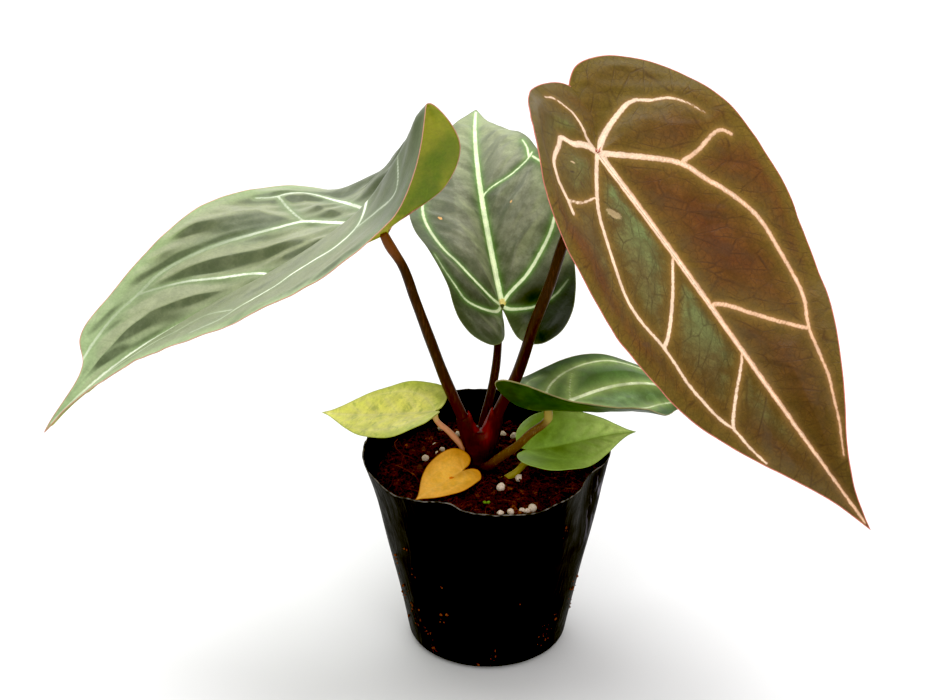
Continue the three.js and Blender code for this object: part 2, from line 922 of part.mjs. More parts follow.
// The crown's limbs, sheath tips and roots in one body, widened all round by grow.
function crownSolid(grow = 0) {
  const limb = (points, sides) => {
    const radii = points.map((p) => p[3]);
    const shares = points.map((_, i) => i / (points.length - 1));
    return solidFrom(
      tubeGeometry(
        points.map((p) => p.slice(0, 3)),
        (share) => smoothValue(share, shares, radii),
        sides === ROOT_SIDES ? points.length : 2 * (points.length - 1),
        sides,
        grow,
      ),
    );
  };
  let crown = limb(CROWN_LIMBS[0], LIMB_SIDES);
  CROWN_LIMBS.slice(1).forEach((points) => {
    crown = crown.add(limb(points, LIMB_SIDES));
  });
  SHEATH_TIPS.forEach((points) => {
    crown = crown.add(limb(points, ROOT_SIDES));
  });
  ROOTS.forEach((points) => {
    crown = crown.add(limb(points, ROOT_SIDES));
  });
  return crown;
}

function meshOf(name, geometry, colour, roughness) {
  const material = new THREE.MeshStandardMaterial({ color: colour, roughness, metalness: 0 });
  const mesh = new THREE.Mesh(geometry, material);
  mesh.name = name;
  return mesh;
}

const plant = new THREE.Group();
plant.name = "potted_anthurium";

const leaves = Object.entries(LEAVES).map(([name, shape]) => [name, new Leaf(shape)]);
let crown = crownSolid();
let soil = soilSolid().subtract(crownSolid(GAP));
leaves.forEach(([, leaf]) => {
  const hole = solidFrom(leaf.stalkGeometry(GAP));
  crown = crown.subtract(hole);
  soil = soil.subtract(hole);
});

plant.add(meshOf("pot", potGeometry(), POT_COLOUR, 0.25));
plant.add(meshOf("soil", geometryFrom(soil), SOIL_COLOUR, 0.95));
plant.add(meshOf("crown", geometryFrom(crown), CROWN_COLOUR, 0.5));
leaves.forEach(([name, leaf]) => {
  plant.add(meshOf(`${name}_blade`, leaf.bladeGeometry(), leaf.shape.colour, 0.6));
  plant.add(meshOf(`${name}_petiole`, leaf.stalkGeometry(), leaf.shape.stalkColour, 0.5));
});

export default plant;
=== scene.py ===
"""Looks for a potted anthurium hybrid: veined velvet leaves, stalks, crown, soil and a film pot.

Lengths are millimetres until a mesh is made, in the same frame as the CAD model: +Z up, the
origin in the middle of the pot's foot, the viewer towards -Y.
"""
import itertools
import logging
import math
from dataclasses import dataclass, field
from enum import Enum
from functools import cached_property

import bmesh
import bpy
import numpy as np
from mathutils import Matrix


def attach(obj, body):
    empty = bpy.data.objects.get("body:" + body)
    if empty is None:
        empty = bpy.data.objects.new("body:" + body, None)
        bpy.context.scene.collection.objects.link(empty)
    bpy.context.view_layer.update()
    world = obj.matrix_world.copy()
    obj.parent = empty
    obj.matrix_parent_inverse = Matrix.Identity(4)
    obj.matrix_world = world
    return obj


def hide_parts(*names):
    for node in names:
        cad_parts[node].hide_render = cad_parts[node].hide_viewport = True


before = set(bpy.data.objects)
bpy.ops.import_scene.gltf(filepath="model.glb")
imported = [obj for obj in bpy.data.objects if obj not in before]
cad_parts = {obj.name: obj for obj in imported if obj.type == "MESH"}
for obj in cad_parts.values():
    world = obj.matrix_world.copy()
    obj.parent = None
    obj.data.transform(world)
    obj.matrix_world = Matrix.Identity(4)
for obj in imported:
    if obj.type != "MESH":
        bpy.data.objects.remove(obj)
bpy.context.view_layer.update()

LOG = logging.getLogger("anthurium")
MM = 0.001
FULL_TURN = 2 * math.pi
LATTICE = 32

Array = np.ndarray
Point = tuple[float, float, float]
Pair = tuple[float, float]
Four = tuple[float, float, float, float]
Colour = tuple[int, int, int]
Faces = list[tuple[int, ...]]
Piece = bpy.types.Object
Material = bpy.types.Material
Socket = bpy.types.NodeSocket
Source = Socket | float | tuple

# Shared shape formulas


def smooth_value(x: Array, stations: Array, values: Array) -> Array:
    """Reads a smooth curve through (stations, values), level beyond its ends.

    It is a cubic between stations whose slope at a station is the mean of the two neighbouring
    straight slopes.

    Args:
        x: Where to read the curve.
        stations: Rising places of the known values.
        values: The known values.

    Returns:
        The curve's values, in the shape of x.
    """
    stations, values = np.asarray(stations, float), np.asarray(values, float)
    slopes = np.diff(values) / np.diff(stations)
    tangents = np.concatenate([slopes[:1], (slopes[:-1] + slopes[1:]) / 2, slopes[-1:]])
    i = np.clip(np.searchsorted(stations, x) - 1, 0, len(stations) - 2)
    step = stations[i + 1] - stations[i]
    t = np.clip((x - stations[i]) / step, 0, 1)
    t2 = t * t
    t3 = t2 * t
    start, end = (2 * t3 - 3 * t2 + 1) * values[i], (3 * t2 - 2 * t3) * values[i + 1]
    leave, arrive = (t3 - 2 * t2 + t) * tangents[i], (t3 - t2) * tangents[i + 1]
    return start + end + step * (leave + arrive)


def smooth_step(t: Array) -> Array:
    """Rises from 0 at t = 0 to 1 at t = 1, level at both ends."""
    u = np.clip(t, 0, 1)
    return u * u * (3 - 2 * u)


def hump(x: Array, middle: float, width: Array | float) -> Array:
    """Rises to 1 at the middle and falls away on both sides."""
    return np.exp(-(((x - middle) / width) ** 2))


def ways_along(points: Array) -> Array:
    """Measures the way along a line of points from the first one to each."""
    return np.concatenate([[0], np.cumsum(np.linalg.norm(np.diff(points, axis=0), axis=1))])


def on_circle(radius: Array, angle: Array, z: Array) -> Array:
    """Turns radii, angles and heights into points."""
    return np.stack(np.broadcast_arrays(radius * np.cos(angle), radius * np.sin(angle), z), -1)


def curve_points(points: Array, count: int) -> Array:
    """Spaces points evenly along a smooth curve through the given ones.

    Args:
        points: The known points, one a row.
        count: How many points to return.

    Returns:
        The new points, one a row.
    """
    points = np.asarray(points, float)
    ways = ways_along(points)
    fine = np.linspace(0, ways[-1], 40 * len(points))
    curve = np.stack([smooth_value(fine, ways, column) for column in points.T], -1)
    run = ways_along(curve)
    even = np.linspace(0, run[-1], count)
    return np.stack([np.interp(even, run, column) for column in curve.T], -1)


def segment_distances(points: Array, line: Array) -> tuple[Array, Array]:
    """Measures from each point to the nearest place of a line of straight segments.

    Args:
        points: Points, one a row.
        line: The line's corners, one a row.

    Returns:
        The distances, and how far along the line the nearest place is, from 0 to 1.
    """
    best = np.full(len(points), np.inf)
    share = np.zeros(len(points))
    for k, (start, end) in enumerate(zip(line[:-1], line[1:])):
        run = end - start
        t = np.clip(((points - start) @ run) / max(float(run @ run), 1e-12), 0, 1)
        gap = np.linalg.norm(points - start - t[:, None] * run, axis=1)
        nearer = gap < best
        best[nearer] = gap[nearer]
        share[nearer] = (k + t[nearer]) / (len(line) - 1)
    return best, share


def value_noise(points: Array, size: float, seed: int) -> Array:
    """Smooth random bumps: random values on a cubic lattice, blended between its corners.

    Args:
        points: Points, one a row, with two or three coordinates.
        size: The lattice's spacing, in the points' unit.
        seed: Chooses the random values.

    Returns:
        Values from -1 to 1.
    """
    points = np.pad(np.atleast_2d(points) / size, ((0, 0), (0, 3 - np.shape(points)[-1])))
    lattice = np.random.default_rng(seed).uniform(-1, 1, (LATTICE,) * 3)
    cell = np.floor(points).astype(int)
    t = smooth_step(points - cell)
    total = np.zeros(len(points))
    for corner in itertools.product((0, 1), repeat=3):
        x, y, z = ((cell + corner) % LATTICE).T
        total += np.where(corner, t, 1 - t).prod(axis=1) * lattice[x, y, z]
    return total


# Meshes


@dataclass
class MeshData:
    """Points in millimetres, faces of point numbers, and named values at the points."""

    points: Array
    faces: Faces
    values: dict[str, Array]
    flat: Array | None = None


def merged(parts: list[MeshData]) -> MeshData:
    """Puts meshes that name the same values beside each other.

    Args:
        parts: The meshes.

    Returns:
        All of them in one.
    """
    faces, shift = [], 0
    for part in parts:
        faces += [tuple(i + shift for i in face) for face in part.faces]
        shift += len(part.points)
    keys = parts[0].values
    values = {key: np.concatenate([part.values[key] for part in parts]) for key in keys}
    return MeshData(np.vstack([part.points for part in parts]), faces, values)


def name_values(mesh: bpy.types.Mesh, values: dict[str, Array]) -> None:
    """Names values at a mesh's points, for its material to read.

    Args:
        mesh: The mesh.
        values: One number a point, by name.
    """
    for key, numbers in values.items():
        layer = mesh.attributes.new(key, "FLOAT", "POINT")
        layer.data.foreach_set("value", np.asarray(numbers, np.float32))


def make_object(name: str, data: MeshData, material: Material) -> Piece:
    """Makes a smooth-shaded Blender object from mesh data.

    Args:
        name: The object's name.
        data: The mesh, in millimetres.
        material: Its finish.

    Returns:
        The new object, linked into the scene.
    """
    mesh = bpy.data.meshes.new(name)
    mesh.from_pydata((data.points * MM).tolist(), [], data.faces)
    mesh.polygons.foreach_set("use_smooth", np.ones(len(mesh.polygons), bool))
    name_values(mesh, data.values)
    if data.flat is not None:
        corners = np.empty(len(mesh.loops), np.int32)
        mesh.loops.foreach_get("vertex_index", corners)
        layer = mesh.uv_layers.new(name="flat")
        layer.uv.foreach_set("vector", (data.flat[corners] * MM).astype(np.float32).ravel())
    mesh.validate()
    mesh.update()
    mesh.materials.append(material)
    LOG.info("%s: %d faces", name, len(mesh.polygons))
    return linked(name, mesh)


def linked(name: str, data: bpy.types.ID) -> Piece:
    """Makes an object from a mesh, a light or a camera and links it into the scene.

    Args:
        name: The object's name.
        data: What it shows.

    Returns:
        The new object.
    """
    made = bpy.data.objects.new(name, data)
    bpy.context.scene.collection.objects.link(made)
    return made


def grid_faces(rows: int, columns: int, closed: bool = False) -> Array:
    """Numbers the four corners of each cell of a grid of points, row by row.

    Args:
        rows: Points down the grid.
        columns: Points across the grid.
        closed: Whether the last column joins the first.

    Returns:
        One row of four point numbers for each cell.
    """
    across = columns if closed else columns - 1
    r, c = np.meshgrid(np.arange(rows - 1), np.arange(across), indexing="ij")
    d = (c + 1) % columns
    quads = [r * columns + c, r * columns + d, (r + 1) * columns + d, (r + 1) * columns + c]
    return np.stack([q.ravel() for q in quads], -1)


def capped(rings: Array, poles: Array) -> tuple[Array, Faces]:
    """Joins closed rings of points into a skin, with a fan round a pole at each end.

    Args:
        rings: The points by ring, corner and coordinate.
        poles: The first and the last pole.

    Returns:
        The points and the faces.
    """
    count, sides = rings.shape[:2]
    faces = [tuple(q) for q in grid_faces(count, sides, closed=True).tolist()]
    pole, last = count * sides, (count - 1) * sides
    for i in range(sides):
        j = (i + 1) % sides
        faces += [(pole, j, i), (pole + 1, last + i, last + j)]
    return np.vstack([rings.reshape(-1, 3), poles]), faces


def tube_data(
    points: Array, radii: Array, sides: int, values: dict[str, Array] | None = None
) -> MeshData:
    """Sweeps a circle along a line of points, with a rounded cap at each end.

    The circle's frame is carried along by the least turn from point to point.

    Args:
        points: The line, one point a row.
        radii: The radius at each point.
        sides: Corners of the circle.
        values: Named values at each point of the line.

    Returns:
        The closed tube.
    """
    ahead = np.gradient(points, axis=0)
    ahead /= np.linalg.norm(ahead, axis=1)[:, None]
    across = np.cross(ahead[0], [0.3, 1.0, 0.2])
    angles = np.linspace(0, FULL_TURN, sides, endpoint=False)[:, None]
    rings = []
    for centre, radius, way in zip(points, radii, ahead):
        across = across - way * (across @ way)
        across /= np.linalg.norm(across)
        ring = np.cos(angles) * across + np.sin(angles) * np.cross(way, across)
        rings.append(centre + radius * ring)
    named = {
        key: np.concatenate([np.repeat(line, sides), line[[0, -1]]])
        for key, line in (values or {}).items()
    }
    return MeshData(*capped(np.array(rings), points[[0, -1]]), named)


# Node graphs


def screen(colour: Colour) -> Point:
    """Turns a screen colour, 0 to 255, into linear light."""
    shares = (channel / 255 for channel in colour)
    return tuple(s / 12.92 if s <= 0.04045 else ((s + 0.055) / 1.055) ** 2.4 for s in shares)


class Graph:
    """A material's node graph, built with short calls."""

    def __init__(self, name: str) -> None:
        """Starts a material with one main shader.

        Args:
            name: The material's name.
        """
        self.material = bpy.data.materials.new(name)
        self.material.use_nodes = True
        self.tree = self.material.node_tree
        self.tree.nodes.clear()
        self.output = self.tree.nodes.new("ShaderNodeOutputMaterial")
        self.shader = self.tree.nodes.new("ShaderNodeBsdfPrincipled")
        self.join(self.shader.outputs[0], self.output.inputs["Surface"])

    def join(self, source: Source, target: Socket) -> None:
        """Links a socket, or sets a plain value, on a target socket.

        Args:
            source: An output socket, a number, a screen colour, or a linear one of four numbers.
            target: The input socket.
        """
        if isinstance(source, Socket):
            self.tree.links.new(source, target)
        elif target.type == "RGBA" and len(source) == 3:
            target.default_value = (*screen(source), 1.0)
        else:
            target.default_value = source

    def node(self, kind: str, inputs: dict[int | str, Source], **settings: str) -> bpy.types.Node:
        """Adds a node.

        Args:
            kind: Its type, without ShaderNode in front.
            inputs: What its input sockets are linked or set to.
            **settings: Its other settings.

        Returns:
            The node.
        """
        node = self.tree.nodes.new("ShaderNode" + kind)
        for name, setting in settings.items():
            setattr(node, name, setting)
        for key, source in inputs.items():
            self.join(source, node.inputs[key])
        return node

    def math(self, kind: str, a: Source, b: Source = 0.0) -> Socket:
        """Adds a number operation of this kind on a and b."""
        return self.node("Math", {0: a, 1: b}, operation=kind).outputs[0]

    def times(self, first: Source, *others: Source) -> Socket:
        """Multiplies numbers.

        Args:
            first: The first number.
            *others: The other ones.

        Returns:
            The product's socket.
        """
        for other in others:
            first = self.math("MULTIPLY", first, other)
        return first

    def plus(self, a: Source, b: Source, share: float = 1.0, middle: float = 0.0) -> Socket:
        """Adds a share of how far b is above its middle value to a."""
        b = self.math("SUBTRACT", b, middle) if middle else b
        return self.math("ADD", a, self.times(b, share) if share != 1 else b)

    def mix(self, share: Source, a: Source, b: Source) -> Socket:
        """Mixes a share of the colour b into the colour a."""
        return self.node("Mix", {0: share, 6: a, 7: b}, data_type="RGBA").outputs[2]

    def ramp(
        self, value: Source, low: float, high: float, start: float = 0.0, end: float = 1.0
    ) -> Socket:
        """Maps a number smoothly from one range to another, held at its ends.

        Args:
            value: The number's socket.
            low: Where the result is start.
            high: Where the result is end.
            start: The first result.
            end: The last result.

        Returns:
            The result's socket.
        """
        inputs = dict(enumerate((value, low, high, start, end)))
        return self.node("MapRange", inputs, interpolation_type="SMOOTHSTEP").outputs[0]

    def falloff(self, gap: Source, width: float) -> Socket:
        """Falls from 1 at no gap to about a third at the width."""
        return self.math("EXPONENT", self.math("DIVIDE", gap, -width))

    def value(self, name: str) -> Socket:
        """Reads a named value of the mesh."""
        return self.node("Attribute", {}, attribute_name=name).outputs["Fac"]

    def flat(self) -> Socket:
        """Reads the leaf's flat coordinates, in metres."""
        return self.node("UVMap", {}, uv_map="flat").outputs[0]

    def place(self, upright: float = 1.0) -> Socket:
        """Reads the object's own coordinates, in metres, with the upright one scaled."""
        own = self.node("TexCoord", {}).outputs["Object"]
        return self.node("Mapping", {"Vector": own, "Scale": (1.0, 1.0, upright)}).outputs[0]

    def noise(
        self, vector: Socket, size: float, detail: float = 2, rough: float = 0.5, bend: float = 0
    ) -> Socket:
        """Adds soft noise.

        Args:
            vector: Coordinates in metres.
            size: The size of its patches, in millimetres.
            detail: How many finer layers it has.
            rough: How strong the finer layers are.
            bend: How much it is distorted.

        Returns:
            The noise's socket, from 0 to 1.
        """
        inputs = {"Vector": vector, "Scale": 1 / (size * MM), "Detail": detail}
        inputs |= {"Roughness": rough, "Distortion": bend}
        return self.node("TexNoise", inputs).outputs["Fac"]

    def placed(self, vector: Socket, turn: float, scale: Point, place: Point = (0, 0, 0)) -> Socket:
        """Reads coordinates in the frame of a placed pattern.

        Args:
            vector: Coordinates in metres.
            turn: The pattern's turn, in degrees.
            scale: How much larger the pattern is.
            place: Where it is, in metres.

        Returns:
            The new coordinates' socket.
        """
        inputs = {"Vector": vector, "Location": place, "Scale": scale}
        inputs["Rotation"] = (0.0, 0.0, math.radians(turn))
        return self.node("Mapping", inputs, vector_type="TEXTURE").outputs[0]

    def spot(self, vector: Socket, spot: "Spot") -> Socket:
        """Marks one small ragged oval on the leaf.

        Args:
            vector: The leaf's flat coordinates, in metres.
            spot: The mark.

        Returns:
            How much of the mark is at each place, from 0 to 1.
        """
        scale = (spot.size[0] * MM, spot.size[1] * MM, 1.0)
        place = (spot.along * MM, spot.side * MM, 0.0)
        inputs = {0: self.placed(vector, spot.turn, scale, place)}
        out = self.node("VectorMath", inputs, operation="LENGTH").outputs["Value"]
        return self.ramp(self.plus(out, self.noise(vector, 0.8), 0.9), 1.55, 1.25, 0.0, spot.share)

    def midrib_gap(self, flat: Socket) -> Socket:
        """Reads how far each flat place is from the leaf's midrib, in millimetres."""
        aside = self.node("SeparateXYZ", {0: flat}).outputs[1]
        return self.times(self.math("ABSOLUTE", aside), 1 / MM)

    def slanted(self, flat: Socket, turn: float, stretch: float) -> Socket:
        """Stretches flat places along a slant, in degrees, that is mirrored at the midrib."""
        mirrored = self.node("VectorMath", {0: flat}, operation="ABSOLUTE").outputs[0]
        return self.placed(mirrored, turn, (stretch, 1.0, 1.0))

    def net(self, vector: Socket, size: float, wobble: float) -> Socket:
        """Adds a net of lines round uneven cells.

        Args:
            vector: Coordinates in metres.
            size: The cells' size, in millimetres.
            wobble: How far its lines stray, in millimetres.

        Returns:
            The distance from the nearest line, in cells.
        """
        inputs = {"Vector": vector, "Scale": 1 / (0.7 * size * MM), "Detail": 3.0}
        drift = self.node("TexNoise", inputs).outputs["Color"]
        inputs = {0: drift, 1: (wobble * MM,) * 3, 2: vector}
        strayed = self.node("VectorMath", inputs, operation="MULTIPLY_ADD").outputs[0]
        inputs = {"Vector": strayed, "Scale": 1 / (size * MM)}
        return self.node("TexVoronoi", inputs, feature="DISTANCE_TO_EDGE").outputs["Distance"]

    def bump(self, height: Socket, depth: float, before: Socket | None = None) -> Socket:
        """Roughens the surface by a height.

        Args:
            height: The height's socket, about 0 to 1.
            depth: The depth that a height of 1 stands for, in millimetres.
            before: A normal's socket to start from.

        Returns:
            The normal's socket.
        """
        inputs = {"Strength": 1.0, "Distance": depth * MM, "Height": height}
        inputs |= {"Normal": before} if before else {}
        return self.node("Bump", inputs).outputs[0]

    def set(self, **sockets: Source) -> None:
        """Sets the main shader's sockets, named with underscores for spaces."""
        for name, source in sockets.items():
            self.join(source, self.shader.inputs[name.replace("_", " ")])

    def glow_through(self, colour: Socket, share: float) -> None:
        """Lets some light of this colour through a thin leaf.

        Args:
            colour: The colour of the light that comes through.
            share: How much of the surface lets it through.
        """
        through = self.node("BsdfTranslucent", {"Color": colour}).outputs[0]
        both = self.node("MixShader", {0: share, 1: self.shader.outputs[0], 2: through})
        self.join(both.outputs[0], self.output.inputs["Surface"])


# Finishes


@dataclass(frozen=True)
class Spot:
    """One small mark on a leaf: its flat place and half sizes in millimetres, and its turn."""

    along: float
    side: float
    size: Pair
    turn: float
    colour: Colour
    share: float = 0.8


@dataclass(frozen=True)
class LeafFinish:
    """A leaf's colours and surface."""

    name: str
    cell: Colour
    cell_other: Colour
    beside: Colour
    # On the right leaf the right half's colour is a painted grey-green sheen.
    right_half: Colour
    halo: Colour
    vein: Colour
    margin: Colour
    edge: Colour
    under: Colour
    under_other: Colour
    under_vein: Colour
    net_line: Colour
    # Colour towards the tip; on the back, left and light leaves it is a painted sheen.
    far: Colour
    # The lobes' colour by the stalk; on the back leaf it is painted shade where the lobes curl
    # down.
    lobe: Colour | None = None
    far_share: float = 0.0
    lobe_share: float = 0.0
    lobe_left: float = 1.0
    lobe_reach: float = 0.1
    far_start: float = 0.35
    # Painted shade on the slopes of the relief that lean one way, and a painted highlight in the
    # ridge colour on the slopes that lean the other way.
    slope_shade: Colour | None = None
    slope_shading_share: float = 0.0
    ridge_highlight: Colour | None = None
    net_share: float = 0.3
    net_size: float = 7.0
    right_share: float = 0.0
    right_edge: Pair = (9.0, 17.0)
    right_end: float = 1.0
    right_outer: float = 1.0
    # Painted shade on the left leaf's near strip.
    left_half_shade: Colour | None = None
    left_shade_share: float = 0.0
    speckle: float = 0.08
    blotch: float = 0.0
    vein_core: Colour | None = None
    groove: float = 0.0
    mottle: float = 0.0
    mottle_colour: Colour | None = None
    beside_width: float = 6.0
    halo_width: float = 1.2
    halo_share: float = 0.7
    margin_width: float = 8.0
    vein_share: float = 1.0
    ragged: float = 1.2
    fade: float = 0.0
    grain: float = 0.2
    rough: float = 0.45
    shine: float = 0.3
    sheen: float = 0.05
    through: float = 0.08
    spots: tuple[Spot, ...] = ()

    def material(self) -> Material:
        """Builds the leaf's material from its flat coordinates and vein distances, with painted
        sheen and painted shade where noted.

        Returns:
            The material.
        """
        g = Graph(self.name)
        flat, side, reach = g.flat(), g.value("half_share"), g.value("reach")
        gap, edge, ink = g.value("vein_gap"), g.value("edge_gap"), g.value("vein_ink")
        middle, fine = g.noise(flat, 6, 4, 0.6), g.noise(flat, 0.9, 3, 0.6)
        torn = g.noise(flat, 2.2, 5, 0.7, 0.3)
        zone = g.plus(g.times(g.noise(flat, 24, 3, 0.55, 0.4), 0.7), middle, 0.3)
        open_gap = g.math("MAXIMUM", gap, 0.0)
        strayed = g.times(open_gap, g.ramp(middle, 0.3, 0.7, 0.75, 1.3))

        face = g.mix(g.ramp(zone, 0.4, 0.6), self.cell, self.cell_other)
        face = g.mix(g.falloff(strayed, self.beside_width), face, self.beside)
        # The right half's colour in the middles of its cells. On the right leaf it is a painted
        # grey-green sheen, strongest near the midrib and fading down the leaf.
        right = g.times(
            g.ramp(side, 0.02, -0.03),
            self.right_share,
            g.ramp(edge, *self.right_edge),
            g.ramp(reach, 0.15, 0.65, 1.0, self.right_end),
            g.ramp(side, -0.16, -0.05, self.right_outer, 1.0),
            g.ramp(strayed, 0.5, 9.0),
            g.ramp(zone, 0.36, 0.6, 0.35, 1.0),
        )
        face = g.mix(right, face, self.right_half)
        # Painted shade on the left leaf's near strip, its left half.
        if self.left_half_shade:
            left = g.times(g.ramp(side, 0.0, 0.08), g.ramp(reach, 0.06, 0.2, 0.0, self.left_shade_share))
            face = g.mix(g.times(left, g.ramp(zone, 0.36, 0.56, 0.6, 1.0)), face, self.left_half_shade)
        outer = g.plus(edge, middle, 6.0, 0.5)
        face = g.mix(g.ramp(outer, self.margin_width, 1.0, 0.0, 0.8), face, self.margin)
        # Towards the tip. On the back, left and light leaves this colour is a painted sheen.
        face = g.mix(g.ramp(reach, self.far_start, 1.0, 0.0, self.far_share), face, self.far)
        # Painted shade and painted highlight on the relief's slopes, from how each place leans.
        if self.slope_shade:
            lean = g.value("lean")
            dark = g.times(g.ramp(lean, 0.01, 0.32), g.ramp(middle, 0.3, 0.6, 0.6, 1.0))
            face = g.mix(g.times(dark, self.slope_shading_share), face, self.slope_shade)
            pale = g.times(g.ramp(lean, -0.03, -0.22), 0.6 * self.slope_shading_share)
            face = g.mix(pale, face, self.ridge_highlight or self.far)
        # The lobes by the stalk. On the back leaf this is painted shade where they curl down,
        # darkest on the right lobe.
        if self.lobe:
            lobe = g.times(
                g.ramp(reach, self.lobe_reach, self.lobe_reach - 0.16),
                g.ramp(side, 0.01, -0.01, self.lobe_left, 1.0),
                self.lobe_share,
                g.ramp(g.math("ABSOLUTE", side), 0.03, 0.09, 0.5, 1.0),
            )
            face = g.mix(lobe, face, self.lobe)
        halo = g.times(g.falloff(open_gap, self.halo_width), ink, self.halo_share)
        face = g.mix(halo, face, self.halo)

        coarse = g.ramp(g.net(g.slanted(flat, 55.0, 2.4), self.net_size, 1.4), 0.0, 0.05, 1.0, 0.0)
        small = g.ramp(g.net(flat, self.net_size * 0.42, 0.9), 0.0, 0.09, 0.6, 0.0)
        seen = g.times(
            g.math("MAXIMUM", coarse, small),
            g.ramp(middle, 0.35, 0.65, 0.2, 1.0),
            g.ramp(gap, 0.4, 3.0),
            self.net_share,
        )
        face = g.mix(seen, face, self.net_line)
        if self.mottle_colour:
            patches = g.ramp(g.noise(flat, 4.5, 4, 0.65, 0.6), 0.52, 0.68)
            face = g.mix(g.times(patches, self.mottle), face, self.mottle_colour)

        frayed = g.plus(gap, torn, self.ragged, 0.5)
        vein = g.times(g.ramp(frayed, 0.3, -0.25), self.vein_share)
        if self.fade > 0:
            vein = g.times(vein, g.ramp(g.noise(flat, 15, 2), 0.4, 0.58, 1.0 - self.fade, 1.0))
        rib = self.vein
        if self.vein_core:
            near = g.ramp(reach, 0.16, 0.0, 0.0, 0.7)
            bright = g.math("MAXIMUM", g.ramp(side, 0.01, -0.04, 0.0, 0.7), near)
            bright = g.math("MAXIMUM", bright, g.ramp(frayed, -0.25, -0.95))
            rib = g.mix(bright, self.vein, self.vein_core)
        if self.groove > 0:
            line = g.ramp(g.midrib_gap(flat), 0.32, 0.1, 0.0, self.groove)
            line = g.times(line, g.ramp(reach, 0.65, 0.3), g.ramp(torn, 0.35, 0.55))
            rib = g.mix(line, rib, self.halo)
        face = g.mix(g.times(vein, ink), face, rib)
        for spot in self.spots:
            face = g.mix(g.spot(flat, spot), face, spot.colour)

        back = g.mix(g.ramp(zone, 0.38, 0.62), self.under, self.under_other)
        back = g.mix(g.times(g.ramp(gap, 0.5, -0.2), 0.7), back, self.under_vein)
        back = g.mix(g.times(seen, 0.35), back, self.under_vein)
        colour = g.mix(g.value("under"), face, back)
        colour = g.mix(g.ramp(edge, 0.5, 0.1), colour, self.edge)
        bright = g.ramp(
            g.plus(g.times(fine, 0.5), torn, 0.5), 0.34, 0.66, 1 - self.speckle, 1 + self.speckle
        )
        cloudy = g.ramp(middle, 0.34, 0.66, 1 - self.blotch, 1 + 0.8 * self.blotch)
        tone = g.node("HueSaturation", {"Color": colour, "Value": g.times(bright, cloudy)})
        height = g.plus(g.plus(g.times(fine, 0.3), middle, 0.7), seen, -0.6)
        g.set(
            Base_Color=tone.outputs[0],
            Roughness=g.ramp(middle, 0.25, 0.75, self.rough - 0.06, self.rough + 0.08),
            Normal=g.bump(height, self.grain),
            Specular_IOR_Level=self.shine,
            Sheen_Weight=self.sheen,
            Sheen_Roughness=0.45,
            Sheen_Tint=(0.9, 0.95, 0.88, 1.0),
        )
        g.glow_through(tone.outputs[0], self.through)
        return g.material


@dataclass(frozen=True)
class StalkFinish:
    """A stalk's colours from its foot to its top."""

    name: str
    foot: Colour
    middle: Colour
    top: Colour

    def material(self) -> Material:
        """Builds the stalk's material: a colour change along it with fine lengthwise streaks.

        Returns:
            The material.
        """
        g = Graph(self.name)
        streaks, patches = g.noise(g.place(0.12), 0.7, 3, 0.6), g.noise(g.place(), 5, 3)
        strayed = g.plus(g.value("climb"), patches, 0.12, 0.5)
        colour = g.mix(g.ramp(strayed, 0.0, 0.35), self.foot, self.middle)
        colour = g.mix(g.ramp(strayed, 0.82, 0.93), colour, self.top)
        pale = g.mix(0.5, colour, self.top)
        colour = g.mix(g.ramp(streaks, 0.5, 0.75, 0.0, 0.7), colour, pale)
        dots = g.times(g.ramp(g.noise(g.place(), 0.5, 1), 0.68, 0.74), 0.35)
        g.set(
            Base_Color=g.mix(dots, colour, self.top),
            Roughness=g.ramp(patches, 0.3, 0.7, 0.34, 0.5),
            Normal=g.bump(streaks, 0.12),
            Specular_IOR_Level=0.14,
        )
        return g.material


@dataclass(frozen=True)
class CrownFinish:
    """The crown's wet dark red skin, the pink edges of its sheaths and a painted crimson highlight
    by the fork.
    """

    name: str
    skin: Colour
    bright: Colour
    edge: Colour
    fork_highlight: Colour
    root: Colour

    def material(self) -> Material:
        """Builds the crown's material.

        Returns:
            The material.
        """
        g = Graph(self.name)
        streaks, patches = g.noise(g.place(0.15), 0.8, 4, 0.65), g.noise(g.place(), 4, 3)
        colour = g.mix(g.ramp(patches, 0.35, 0.7), self.skin, self.bright)
        # A painted crimson highlight by the fork.
        fork_highlight = g.times(g.value("fork_highlight_mask"), g.ramp(streaks, 0.35, 0.7, 0.4, 1.0))
        colour = g.mix(fork_highlight, colour, self.fork_highlight)
        colour = g.mix(g.ramp(streaks, 0.55, 0.8, 0.0, 0.2), colour, self.edge)
        colour = g.mix(g.times(g.value("sheath"), 0.85), colour, self.edge)
        g.set(
            Base_Color=g.mix(g.value("rooted"), colour, self.root),
            Roughness=g.ramp(patches, 0.3, 0.7, 0.32, 0.5),
            Normal=g.bump(streaks, 0.2),
            Specular_IOR_Level=0.14,
        )
        return g.material


